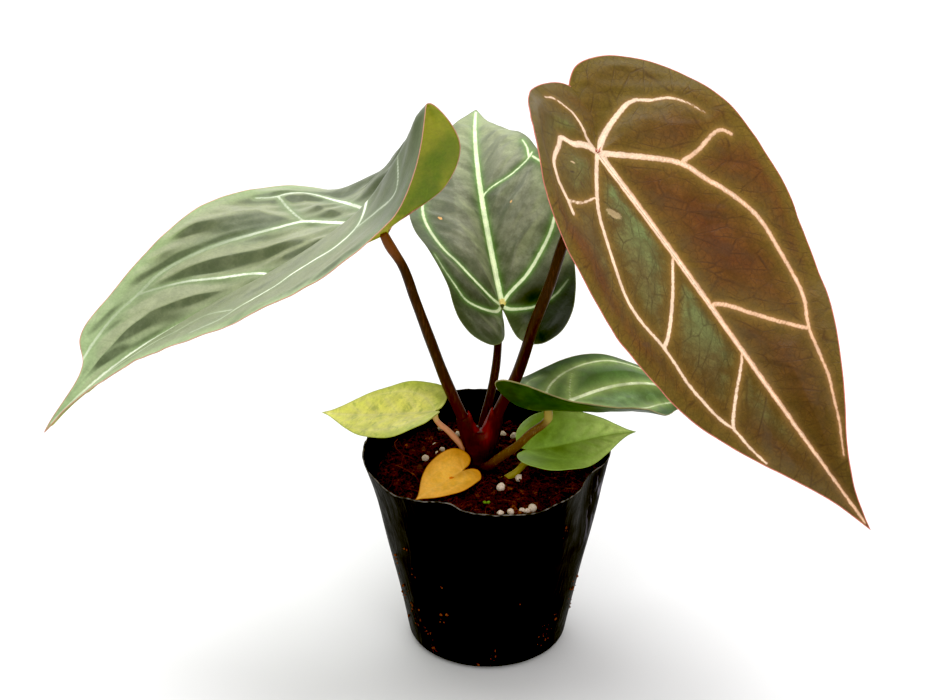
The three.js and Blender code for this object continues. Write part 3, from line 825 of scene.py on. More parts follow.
@dataclass(frozen=True)
class FilmFinish:
    """The pot's thin black film."""

    name: str
    colour: Colour
    dust: Colour
    glare: Colour
    # Painted highlight along the rim's lip.
    rim: Colour

    def material(self) -> Material:
        """Builds the film's material: black, with upright scuffs and dust, painted streaks of glare
        and a painted highlight along the rim.

        Returns:
            The material.
        """
        g = Graph(self.name)
        place, upright = g.place(), g.place(0.16)
        scuffs = g.noise(g.place(0.3), 2.5, 5, 0.7, 0.6)
        streaks = g.noise(upright, 2.6, 4, 0.65, 0.3)
        dirt = g.noise(place, 9, 5, 0.65)
        colour = g.mix(g.ramp(scuffs, 0.6, 0.8, 0.0, 0.25), self.colour, self.dust)
        colour = g.mix(g.ramp(dirt, 0.6, 0.8, 0.0, 0.2), colour, self.dust)
        colour = g.mix(g.times(g.ramp(streaks, 0.52, 0.66), g.value("glare")), colour, self.glare)
        # The rim colour is a painted highlight along the lip, broken into pieces by noise.
        rim_highlight_breaks = g.ramp(g.noise(place, 3, 3), 0.4, 0.62, 0.15, 1.0)
        lip = g.times(g.ramp(g.value("rim_gap"), 0.6, 0.2, 0.0, 0.6), rim_highlight_breaks)
        slack = g.bump(g.noise(upright, 5, 3, 0.5, 0.8), 0.5)
        g.set(
            Base_Color=g.mix(lip, colour, self.rim),
            Roughness=g.ramp(dirt, 0.35, 0.75, 0.36, 0.55),
            Normal=g.bump(g.noise(place, 0.35), 0.03, slack),
            Specular_IOR_Level=0.012,
        )
        return g.material


@dataclass(frozen=True)
class CrumbFinish:
    """Soil, bark or fibre: two tones and a grain."""

    name: str
    dark: Colour
    light: Colour
    accent: Colour
    grain: float
    depth: float
    rough: float = 0.85
    accent_share: float = 0.5
    shine: float = 0.06

    def material(self) -> Material:
        """Builds the crumbly material.

        Returns:
            The material.
        """
        g = Graph(self.name)
        clumps = g.noise(g.place(), 4 * self.grain, 5, 0.7)
        grains = g.noise(g.place(), self.grain, 4, 0.75)
        colour = g.mix(g.ramp(grains, 0.35, 0.7), self.dark, self.light)
        accent = g.ramp(clumps, 0.55, 0.75, 0.0, self.accent_share)
        g.set(
            Base_Color=g.mix(accent, colour, self.accent),
            Roughness=g.ramp(grains, 0.3, 0.7, self.rough - 0.12, self.rough + 0.1),
            Normal=g.bump(grains, self.depth, g.bump(clumps, 2 * self.depth)),
            Specular_IOR_Level=self.shine,
        )
        return g.material


class Part(Enum):
    """The record's material slots that hold more than one kind of piece."""

    SOIL = "soil"
    POT = "pot"
    CROWN = "crown"


LEAF_FINISHES = {
    # Its right half's grey-green is a painted sheen.
    "right_leaf": LeafFinish(
        "right_leaf_skin", blotch=0.13, cell=(88, 44, 16), cell_other=(98, 58, 20),
        beside=(108, 88, 26), right_half=(110, 126, 76), halo=(160, 112, 70), vein=(224, 178, 142),
        margin=(116, 94, 32), edge=(206, 120, 104), under=(140, 84, 60), under_other=(120, 80, 50),
        under_vein=(196, 130, 104), net_line=(48, 26, 12), far=(68, 48, 14), lobe=(96, 82, 26),
        far_share=0.75, far_start=0.2, lobe_share=0.6, right_share=0.85, right_end=0.85,
        right_outer=0.5, speckle=0.16, groove=0.75, vein_core=(248, 220, 192), beside_width=5.0,
        ragged=1.5, halo_width=0.9, halo_share=0.5, net_share=0.6, shine=0.22, slope_shade=(70, 44, 18),
        slope_shading_share=0.25, spots=(Spot(-0.3, -23.8, (1.5, 0.5), 60, (210, 180, 140)),
        Spot(3, -28.5, (1.7, 0.4), 70, (70, 50, 36)), Spot(9, -26.6, (1.5, 0.5), 20, (84, 58, 34)),
        Spot(23.6, -18.3, (3.4, 2), 35, (186, 160, 118), 0.6),
        Spot(68.9, -41.1, (2.6, 1), 70, (84, 56, 30), 0.7)),
    ),
    # Its pale tip is a painted sheen, its near strip painted shade, and its ridge and slope colours
    # painted highlight and painted shade.
    "left_leaf": LeafFinish(
        "left_leaf_skin", blotch=0.09, cell=(122, 126, 90), cell_other=(140, 144, 110),
        beside=(116, 132, 88), right_half=(130, 138, 98), halo=(132, 164, 96), vein=(250, 255, 232),
        margin=(144, 168, 108), edge=(200, 140, 116), under=(156, 156, 36),
        under_other=(92, 114, 14), under_vein=(170, 166, 50), net_line=(60, 76, 52),
        far=(172, 192, 146), lobe=(74, 84, 56), far_share=0.75, far_start=0.48,
        right_edge=(-1.0, 0.0), right_share=0.8, lobe_share=0.85, net_share=0.15, halo_width=0.8,
        halo_share=0.4, ridge_highlight=(154, 158, 124), slope_shade=(50, 64, 30), slope_shading_share=0.8,
        vein_share=0.95, fade=0.4, left_half_shade=(120, 128, 92), left_shade_share=0.8, speckle=0.1,
        shine=0.36, rough=0.42, sheen=0.06,
    ),
    # Its paler tip is a painted sheen and its nearly black lobes are painted shade.
    "back_leaf": LeafFinish(
        "back_leaf_skin", blotch=0.14, cell=(108, 112, 88), cell_other=(134, 136, 112),
        beside=(46, 66, 16), right_half=(92, 100, 72), halo=(130, 176, 92), vein=(240, 252, 206),
        margin=(84, 98, 60), edge=(96, 104, 60), under=(96, 108, 46), under_other=(80, 100, 34),
        under_vein=(150, 160, 80), net_line=(48, 60, 44), far=(166, 176, 128), lobe=(10, 24, 0),
        far_share=0.7, lobe_share=1.0, lobe_left=0.55, lobe_reach=0.13, net_share=0.15,
        halo_width=1.0, beside_width=2.8, speckle=0.1, halo_share=0.7, slope_shade=(58, 70, 38),
        slope_shading_share=0.6, ragged=0.9, fade=0.2, shine=0.12, rough=0.42, sheen=0.012,
        spots=(Spot(39.2, 21.5, (1.1, 0.7), 30, (236, 180, 110), 1.0),
        Spot(44.4, -14.3, (0.7, 0.6), 0, (236, 180, 110), 0.9),
        Spot(1.2, -0.4, (2.2, 2.0), 0, (222, 196, 96), 0.8)),
    ),
    "low_leaf": LeafFinish(
        "low_leaf_skin", blotch=0.2, cell=(42, 74, 16), cell_other=(58, 94, 32),
        beside=(140, 166, 98), right_half=(128, 158, 100), halo=(140, 160, 86),
        vein=(240, 250, 206), margin=(40, 72, 20), edge=(150, 140, 96), under=(30, 52, 8),
        under_other=(38, 66, 12), under_vein=(80, 104, 40), net_line=(34, 62, 26),
        far=(84, 118, 62), far_share=0.3, net_share=0.15, net_size=4.5, vein_share=0.9, ragged=0.6,
        fade=0.5, grain=0.06, rough=0.38, shine=0.08, sheen=0.01, right_share=0.75,
        right_edge=(3.0, 8.0), beside_width=3.2, slope_shade=(40, 60, 12), slope_shading_share=0.4,
    ),
    # Its bright tip is a painted sheen.
    "light_leaf": LeafFinish(
        "light_leaf_skin", blotch=0.14, cell=(112, 142, 46), cell_other=(134, 168, 66),
        beside=(118, 150, 54), right_half=(90, 118, 30), halo=(146, 182, 74), vein=(176, 204, 100),
        margin=(140, 172, 70), edge=(160, 190, 90), under=(120, 150, 60),
        under_other=(110, 146, 50), under_vein=(160, 180, 90), net_line=(98, 136, 48),
        far=(236, 255, 150), far_share=1.0, far_start=0.15, slope_shade=(84, 112, 20), slope_shading_share=0.25,
        net_share=0.2, net_size=3.5, vein_share=0.15, ragged=0.3, grain=0.12, through=0.12,
        shine=0.15, right_share=0.8, right_edge=(-1.0, 0.0),
    ),
    "yellow_leaf": LeafFinish(
        "yellow_leaf_skin", blotch=0.12, cell=(222, 216, 64), cell_other=(244, 236, 102),
        beside=(244, 240, 134), right_half=(240, 238, 120), halo=(232, 226, 134),
        vein=(240, 234, 160), margin=(176, 194, 70), edge=(170, 180, 74), under=(200, 198, 100),
        under_other=(190, 194, 90), under_vein=(206, 200, 120), net_line=(176, 190, 80),
        far=(240, 238, 104), lobe=(214, 218, 100), far_share=1.0, far_start=0.0, lobe_share=0.5,
        net_share=0.25, net_size=3.5, mottle=0.42, mottle_colour=(120, 150, 44), vein_share=0.35,
        ragged=0.3, grain=0.12, through=0.1, shine=0.2,
    ),
    "orange_leaf": LeafFinish(
        "orange_leaf_skin", blotch=0.08, cell=(248, 190, 76), cell_other=(255, 214, 136),
        beside=(255, 192, 60), right_half=(236, 164, 26), halo=(246, 190, 88), vein=(248, 200, 104),
        margin=(216, 150, 44), edge=(190, 120, 34), under=(200, 140, 60),
        under_other=(200, 140, 60), under_vein=(214, 170, 90), net_line=(216, 140, 40),
        far=(246, 178, 70), lobe=(226, 152, 46), right_share=0.7, far_share=0.5, lobe_share=0.5,
        net_share=0.2, net_size=3.0, vein_share=0.1, ragged=0.3, grain=0.1, through=0.08,
        shine=0.15, spots=(Spot(7, 0.4, (1.1, 0.9), 0, (226, 110, 20), 0.9),),
    ),
}
DARK_STALK = StalkFinish("dark_stalk_skin", foot=(56, 10, 6), middle=(42, 19, 5), top=(104, 58, 28))
OLIVE_STALK = StalkFinish(
    "olive_stalk_skin", foot=(52, 22, 8), middle=(84, 54, 20), top=(156, 136, 62),
)
GREEN_STALK = StalkFinish(
    "green_stalk_skin", foot=(120, 84, 30), middle=(156, 140, 50), top=(168, 172, 70),
)
SALMON_STALK = StalkFinish(
    "salmon_stalk_skin", foot=(140, 70, 44), middle=(206, 140, 100), top=(214, 178, 112),
)
ORANGE_STALK = StalkFinish(
    "orange_stalk_skin", foot=(96, 44, 20), middle=(150, 86, 36), top=(216, 156, 66),
)
# The glow colour is a painted crimson highlight by the fork.
CROWN_SKIN = CrownFinish(
    "crown_skin", skin=(40, 3, 2), bright=(56, 5, 5), edge=(130, 26, 32), fork_highlight=(124, 14, 20),
    root=(80, 36, 16),
)
# The rim colour is a painted highlight along the lip, and the glare a painted reflection.
FILM = FilmFinish(
    "pot_film", colour=(3, 3, 4), dust=(13, 9, 9), glare=(136, 130, 144), rim=(128, 122, 116),
)
SOIL_MIX = CrumbFinish(
    "soil_mix", dark=(12, 5, 3), light=(88, 42, 22), accent=(156, 80, 40), grain=1.1, depth=0.9,
)
BARK = CrumbFinish(
    "bark", dark=(18, 7, 4), light=(108, 52, 26), accent=(206, 120, 66), grain=0.8, depth=0.3,
    rough=0.75,
)
FIBRE = CrumbFinish(
    "coir_fibre", dark=(64, 30, 15), light=(120, 64, 34), accent=(196, 116, 66), grain=0.8,
    depth=0.05, rough=0.7,
)
BEAD = CrumbFinish(
    "white_bead", dark=(196, 172, 148), light=(246, 230, 212), accent=(140, 92, 64), grain=0.5,
    depth=0.12, rough=0.8, accent_share=0.35, shine=0.3,
)
CRUMB = CrumbFinish(
    "coir_crumb", dark=(70, 34, 18), light=(132, 70, 38), accent=(180, 110, 66), grain=0.4,
    depth=0.1,
)
SPROUT = CrumbFinish(
    "sprout_skin", dark=(84, 120, 30), light=(130, 166, 50), accent=(150, 180, 70), grain=0.6,
    depth=0.05, rough=0.5,
)
STALK_FINISHES = {
    "left_leaf": DARK_STALK,
    "back_leaf": DARK_STALK,
    "right_leaf": DARK_STALK,
    "low_leaf": OLIVE_STALK,
    "light_leaf": GREEN_STALK,
    "yellow_leaf": SALMON_STALK,
    "orange_leaf": ORANGE_STALK,
}


# Leaves

HEART_OUTLINE = np.array(
    [
        [0, 0], [-0.05, 0.012], [-0.13, 0.035], [-0.185, 0.1], [-0.175, 0.17], [-0.115, 0.235],
        [0, 0.282], [0.16, 0.3], [0.34, 0.275], [0.52, 0.215], [0.69, 0.135], [0.82, 0.066],
        [0.92, 0.022], [1, 0],
    ]
)
LOBE_END = 6
LOBE_SHARE = 0.32
TIP_START = 10
LAP_SHARES = np.array([0, 0.8, 1, 0.4] + [0] * 10)
LAP_START = 0.05
LAP_WIDTH = 0.12
BEND_STATIONS = np.array([-0.2, 0, 0.5, 1])
SPINE_STEPS = 120
SPINE_START = -0.34
SECTION_STEPS = 16
HALF_WIDTH_SHARE = 0.3
ROLL_WIDTH = 0.06
NECK_PLACE = 0.015
NECK_LENGTH = 2.2
MIDRIB_THICKNESS = 1.7
FAR_FROM_VEINS = 30.0
RIB_DEPTH = 0.9
FLAT_MARGIN = 7
RUFFLE_REACH = 6
EDGE_ROUNDING = 1.2


@dataclass(frozen=True)
class Vein:
    """One vein: its half, flat places as shares of the length, half widths, and how it shows."""

    half: int
    places: tuple[Pair, ...]
    widths: Pair
    shown: tuple[float, ...] = (1.0,)


@dataclass(frozen=True)
class Leaf:
    """A leaf's sizes, and how its flat outline lies on its bent midrib and bent half sections.

    Sizes are millimetres, and degrees at the four bend stations.
    """

    name: str
    joint: Point
    length: float
    widths: tuple[Four, Four]
    lobes: Pair
    pitch: Four
    heading: Four
    bank: Four
    fold: tuple[Four, Four]
    curl: tuple[Four, Four]
    wave: float
    waves: float
    stalk: tuple[Point, ...]
    stalk_radii: Pair
    veins: tuple[Vein, ...]
    roll: Four | None = None
    crest: Four = (0, 0, 0, 0)
    lap: Pair | None = None
    tip: tuple[int, tuple[Pair, ...]] | None = None
    rows: int = 220
    columns: int = 66
    pillow: float = 0.6
    pillow_reach: float = 6.5
    left_relief: float = 1.0
    fold_depth: float = 0.45
    fold_stretch: Pair = (1.0, 0.4)
    ruffle: float = 0.3
    thickness: float = 0.55

    @cached_property
    def spine(self) -> Array:
        """Integrates the midrib from its named pitch, heading and bank.

        Returns:
            The midrib's points and their left and up directions, nine numbers a row.
        """
        places = np.linspace(SPINE_START, 1, SPINE_STEPS)
        pitch, heading, bank = (
            np.radians(self.bend(places, values))[:, None]
            for values in (self.pitch, self.heading, self.bank)
        )
        east, north, upright = np.eye(3)
        out = np.cos(heading) * east + np.sin(heading) * north
        ahead = np.cos(pitch) * out + np.sin(pitch) * upright
        level = np.cos(heading) * north - np.sin(heading) * east
        raised = np.cross(ahead, level)
        left = np.cos(bank) * level + np.sin(bank) * raised
        up = np.cos(bank) * raised - np.sin(bank) * level
        step = (places[1] - places[0]) * self.length
        way = np.vstack([[0, 0, 0], np.cumsum((ahead[1:] + ahead[:-1]) / 2 * step, axis=0)])
        joined = [np.interp(0, places, column) for column in way.T]
        return np.concatenate([way - joined + self.joint, left, up], -1)

    def bend(self, along: Array, values: Four) -> Array:
        """Reads a value that is named at the bend stations."""
        return smooth_value(along, BEND_STATIONS, values)

    def frame_at(self, along: Array) -> tuple[Array, Array, Array]:
        """Reads the midrib's point and its left and up directions.

        Args:
            along: Shares of the length.

        Returns:
            The points and the two directions.
        """
        place = (np.asarray(along) - SPINE_START) / (1 - SPINE_START) * (SPINE_STEPS - 1)
        i = np.clip(np.floor(place).astype(int), 0, SPINE_STEPS - 2)
        t = (place - i)[..., None]
        row = self.spine[i] * (1 - t) + self.spine[i + 1] * t
        return row[..., :3], row[..., 3:6], row[..., 6:]

    def point_at(self, along: Array, aside: Array, half: int) -> Array:
        """Finds upper face points from flat places.

        The half section starts from the midrib at its fold angle, turns steadily by its curl, and
        turns once more by its roll beyond the crest. Its points are the sums of small steps.

        Args:
            along: Shares of the length along the midrib.
            aside: Shares of the length away from it.
            half: 0 for the left half and 1 for the right.

        Returns:
            The points, in millimetres.
        """
        middle, left, up = self.frame_at(along)
        w = aside[..., None] * (np.arange(SECTION_STEPS) + 0.5) / SECTION_STEPS
        curl = self.bend(along, self.curl[half])[..., None] * w / HALF_WIDTH_SHARE
        degrees = self.bend(along, self.fold[half])[..., None] + curl
        if self.roll and half == 0:
            beyond = w - self.bend(along, self.crest)[..., None]
            roll = self.bend(along, self.roll)[..., None]
            degrees = degrees + roll * smooth_step(beyond / ROLL_WIDTH + 0.5)
        angle = np.radians(degrees)
        side = 1 - 2 * half
        across = np.cos(angle).mean(-1) * aside * self.length * side
        height = np.sin(angle).mean(-1) * aside * self.length
        edge = (aside / HALF_WIDTH_SHARE) ** 2
        height = height + self.wave * edge * np.sin(FULL_TURN * (self.waves * along + 0.37 * half))
        if self.lap:
            inner = 1 - smooth_step(aside / LAP_WIDTH)
            height = height - side * self.lap[1] * np.clip(-along / LAP_START, 0, 1) * inner
        return middle + across[..., None] * left + height[..., None] * up

    def outline(self, t: Array, half: int) -> tuple[Array, Array]:
        """Reads the flat outline of one half, from the notch round the lobe to the tip.

        Args:
            t: How far round it, from 0 to 1.
            half: 0 for the left half and 1 for the right.

        Returns:
            Shares of the length along and away from the midrib.
        """
        knots = HEART_OUTLINE.copy()
        if self.tip and half == self.tip[0]:
            knots[TIP_START : TIP_START + len(self.tip[1])] = self.tip[1]
        if self.lap and half == 1:
            knots[:, 1] -= self.lap[0] * LAP_SHARES
        ways = ways_along(knots)
        lobe = ways[LOBE_END]
        rest = (t - LOBE_SHARE) / (1 - LOBE_SHARE)
        way = np.where(t < LOBE_SHARE, lobe * t / LOBE_SHARE, lobe + (ways[-1] - lobe) * rest)
        along, aside = (smooth_value(way, ways, column) for column in knots.T)
        along = np.where(along < 0, along * self.lobes[half], along)
        return along, aside * self.bend(along, self.widths[half])

    def stalk_line(self) -> Array:
        """Finds the stalk's points, whose neck meets the blade's underside square on.

        Returns:
            The points, one a row.
        """
        middle, _, up = self.frame_at(np.array(NECK_PLACE))
        neck = middle - up * (MIDRIB_THICKNESS + NECK_LENGTH * self.stalk_radii[1])
        return np.vstack([self.stalk, neck, middle - 0.4 * up])


def plain_veins(widths: Pair, size: float, sides: int = 4) -> tuple[Vein, ...]:
    """Lays out the veins of a small leaf by rule: the same on both halves.

    Args:
        widths: The midrib's half widths at the stalk and the tip, in millimetres.
        size: The side veins' half width, in millimetres.
        sides: How many short side veins leave the midrib on each half.

    Returns:
        The veins.
    """
    arc = ((0, 0), (0.05, 0.08), (0.12, 0.14), (0.22, 0.18), (0.35, 0.185), (0.5, 0.165))
    arc += ((0.64, 0.12), (0.77, 0.07), (0.88, 0.025))
    basal = ((0, 0), (-0.04, 0.06), (-0.05, 0.12), (-0.02, 0.18), (0.05, 0.23), (0.14, 0.24))
    lobe = ((0, 0), (-0.06, 0.04), (-0.11, 0.08), (-0.12, 0.13))
    veins = [Vein(0, ((0, 0), (0.5, 0), (0.96, 0)), widths)]
    for half in (0, 1):
        veins.append(Vein(half, arc, (size, 0.4 * size), (1.0, 0.9, 0.4)))
        veins.append(Vein(half, basal, (0.8 * size, 0.2 * size), (0.8, 0.2)))
        veins.append(Vein(half, lobe, (0.6 * size, 0.2 * size), (0.6, 0.1)))
        for k, start in enumerate((0.14, 0.3, 0.46, 0.6)[:sides]):
            away = 0.16 - 0.03 * k
            places = ((start, 0), (start + 0.05, 0.45 * away), (start + 0.13, away))
            veins.append(Vein(half, places, (0.5 * size, 0.2 * size)))
    return tuple(veins)


RIGHT_LEAF_VEINS = (
    Vein(0, ((0, 0), (0.3, 0), (0.6, 0), (0.85, 0), (0.98, 0)), (1.65, 0.35)),
    Vein(
        0, ((0, 0), (0.03, 0.04), (0.07, 0.09), (0.11, 0.135), (0.14, 0.155), (0.18, 0.17),
        (0.22, 0.19), (0.31, 0.215), (0.4, 0.21), (0.46, 0.2), (0.51, 0.185), (0.57, 0.15),
        (0.64, 0.13), (0.68, 0.12), (0.73, 0.1), (0.78, 0.08), (0.84, 0.05)), (1.15, 0.25),
    ),
    Vein(
        0, ((0, 0), (-0.03, 0.06), (-0.04, 0.09), (-0.05, 0.13), (-0.05, 0.16), (-0.03, 0.19),
        (-0.01, 0.23), (0.02, 0.25), (0.06, 0.265)), (1.2, 0.15),
    ),
    Vein(0, ((0.13, 0.285), (0.11, 0.27), (0.12, 0.19), (0.12, 0.15)), (0.55, 0.8)),
    Vein(0, ((0.41, 0), (0.42, 0.02), (0.48, 0.07), (0.53, 0.11), (0.57, 0.145)), (0.7, 0.6)),
    Vein(
        1, ((0, 0), (0.04, 0.06), (0.08, 0.11), (0.12, 0.15), (0.17, 0.18), (0.24, 0.21),
        (0.3, 0.225), (0.35, 0.22), (0.43, 0.195), (0.52, 0.18), (0.57, 0.165), (0.63, 0.145),
        (0.66, 0.13), (0.71, 0.12), (0.76, 0.105)), (0.95, 0.35),
    ),
    Vein(
        1, ((0, 0), (-0.01, 0.01), (-0.03, 0.05), (-0.04, 0.08), (-0.065, 0.11), (-0.05, 0.15),
        (-0.04, 0.18), (-0.02, 0.22), (0.02, 0.24), (0.05, 0.24), (0.07, 0.24), (0.1, 0.245)),
        (1.4, 0.8),
    ),
    Vein(1, ((0.07, 0.24), (0.085, 0.2), (0.09, 0.13)), (0.5, 0.35)),
    Vein(
        1, ((0, 0), (-0.04, 0.02), (-0.07, 0.012), (-0.1, 0.01), (-0.12, 0.02), (-0.15, 0.04),
        (-0.165, 0.07)), (0.9, 0.2),
    ),
    Vein(1, ((0.275, 0), (0.3, 0.03), (0.37, 0.11), (0.42, 0.175), (0.43, 0.195)), (0.55, 0.8)),
    Vein(1, ((0.53, 0), (0.55, 0.02), (0.6, 0.08), (0.65, 0.125), (0.66, 0.13)), (0.45, 0.6)),
)
BACK_LEAF_VEINS = (
    Vein(0, ((0, 0), (0.3, 0), (0.6, 0), (0.96, 0)), (1.6, 0.5)),
    Vein(1, ((0.38, 0), (0.4, 0.01), (0.41, 0.11), (0.44, 0.17), (0.46, 0.18)), (0.5, 0.45)),
    Vein(1, ((0.44, 0.17), (0.5, 0.165), (0.56, 0.15)), (0.45, 0.2)),
    Vein(
        1, ((0, 0), (0.02, 0.02), (0.06, 0.09), (0.12, 0.15), (0.17, 0.19), (0.25, 0.225),
        (0.35, 0.225), (0.44, 0.18)), (0.8, 0.4),
    ),
    Vein(
        0, ((0, 0), (0, 0.05), (0.04, 0.12), (0.09, 0.16), (0.12, 0.18), (0.22, 0.19), (0.33, 0.18),
        (0.45, 0.15)), (0.8, 0.4),
    ),
    Vein(
        0, ((0, 0), (-0.04, 0.04), (-0.06, 0.11), (-0.05, 0.16), (-0.01, 0.19), (0.04, 0.21),
        (0.1, 0.22)), (0.7, 0.2), (0.9, 0.8, 0.5),
    ),
    Vein(
        1, ((0, 0), (-0.02, 0.02), (-0.04, 0.06), (-0.05, 0.1), (-0.04, 0.15), (0, 0.2)),
        (0.7, 0.3), (0.9, 0.5, 0.1),
    ),
)
LEFT_LEAF_VEINS = (
    Vein(0, ((0, 0), (0.3, 0), (0.6, 0), (0.97, 0)), (1.3, 0.5), (0.6, 0.8, 1.0, 0.9, 0.6)),
    Vein(
        1, ((0, 0), (0.02, 0.07), (0.06, 0.15), (0.13, 0.29), (0.16, 0.34), (0.19, 0.37),
        (0.23, 0.37), (0.27, 0.35), (0.31, 0.35)), (0.9, 0.4), (1.0, 1.0, 1.0, 0.9, 0.8, 0.5),
    ),
    Vein(1, ((0.26, 0.35), (0.24, 0.28), (0.21, 0.2)), (0.45, 0.4), (0.5, 0.35)),
    Vein(
        1, ((0, 0), (0.07, 0.07), (0.14, 0.14), (0.21, 0.195), (0.27, 0.2), (0.33, 0.2),
        (0.46, 0.19), (0.57, 0.17), (0.63, 0.14), (0.69, 0.12), (0.78, 0.08), (0.86, 0.045)),
        (0.9, 0.4), (0.8, 0.9, 1.0, 1.0, 0.5, 0.2, 0.15, 0.15, 0.2, 0.5, 0.4),
    ),
    Vein(
        1, ((0.3, 0), (0.33, 0.04), (0.45, 0.09), (0.53, 0.12), (0.63, 0.14)), (0.6, 0.35),
        (0.9, 0.9, 0.8, 0.3, 0.15),
    ),
    Vein(
        0, ((0, 0), (0.005, 0.08), (0.02, 0.15), (0.05, 0.195), (0.11, 0.2), (0.17, 0.18),
        (0.23, 0.18), (0.28, 0.205), (0.34, 0.21), (0.38, 0.21), (0.43, 0.22), (0.52, 0.2)),
        (0.9, 0.4), (0.7, 0.9, 1.0, 1.0, 1.0, 0.8, 0.5, 0.3),
    ),
    Vein(0, ((-0.1, 0.2), (-0.07, 0.28), (-0.01, 0.23), (0.05, 0.195)), (0.3, 0.6), (0.4,)),
    Vein(
        0, ((0.4, 0.2), (0.49, 0.115), (0.56, 0.11), (0.63, 0.08), (0.69, 0.07), (0.78, 0.03),
        (0.85, 0)), (0.3, 1.0), (0.4, 0.2, 0.2, 0.4, 0.5),
    ),
)
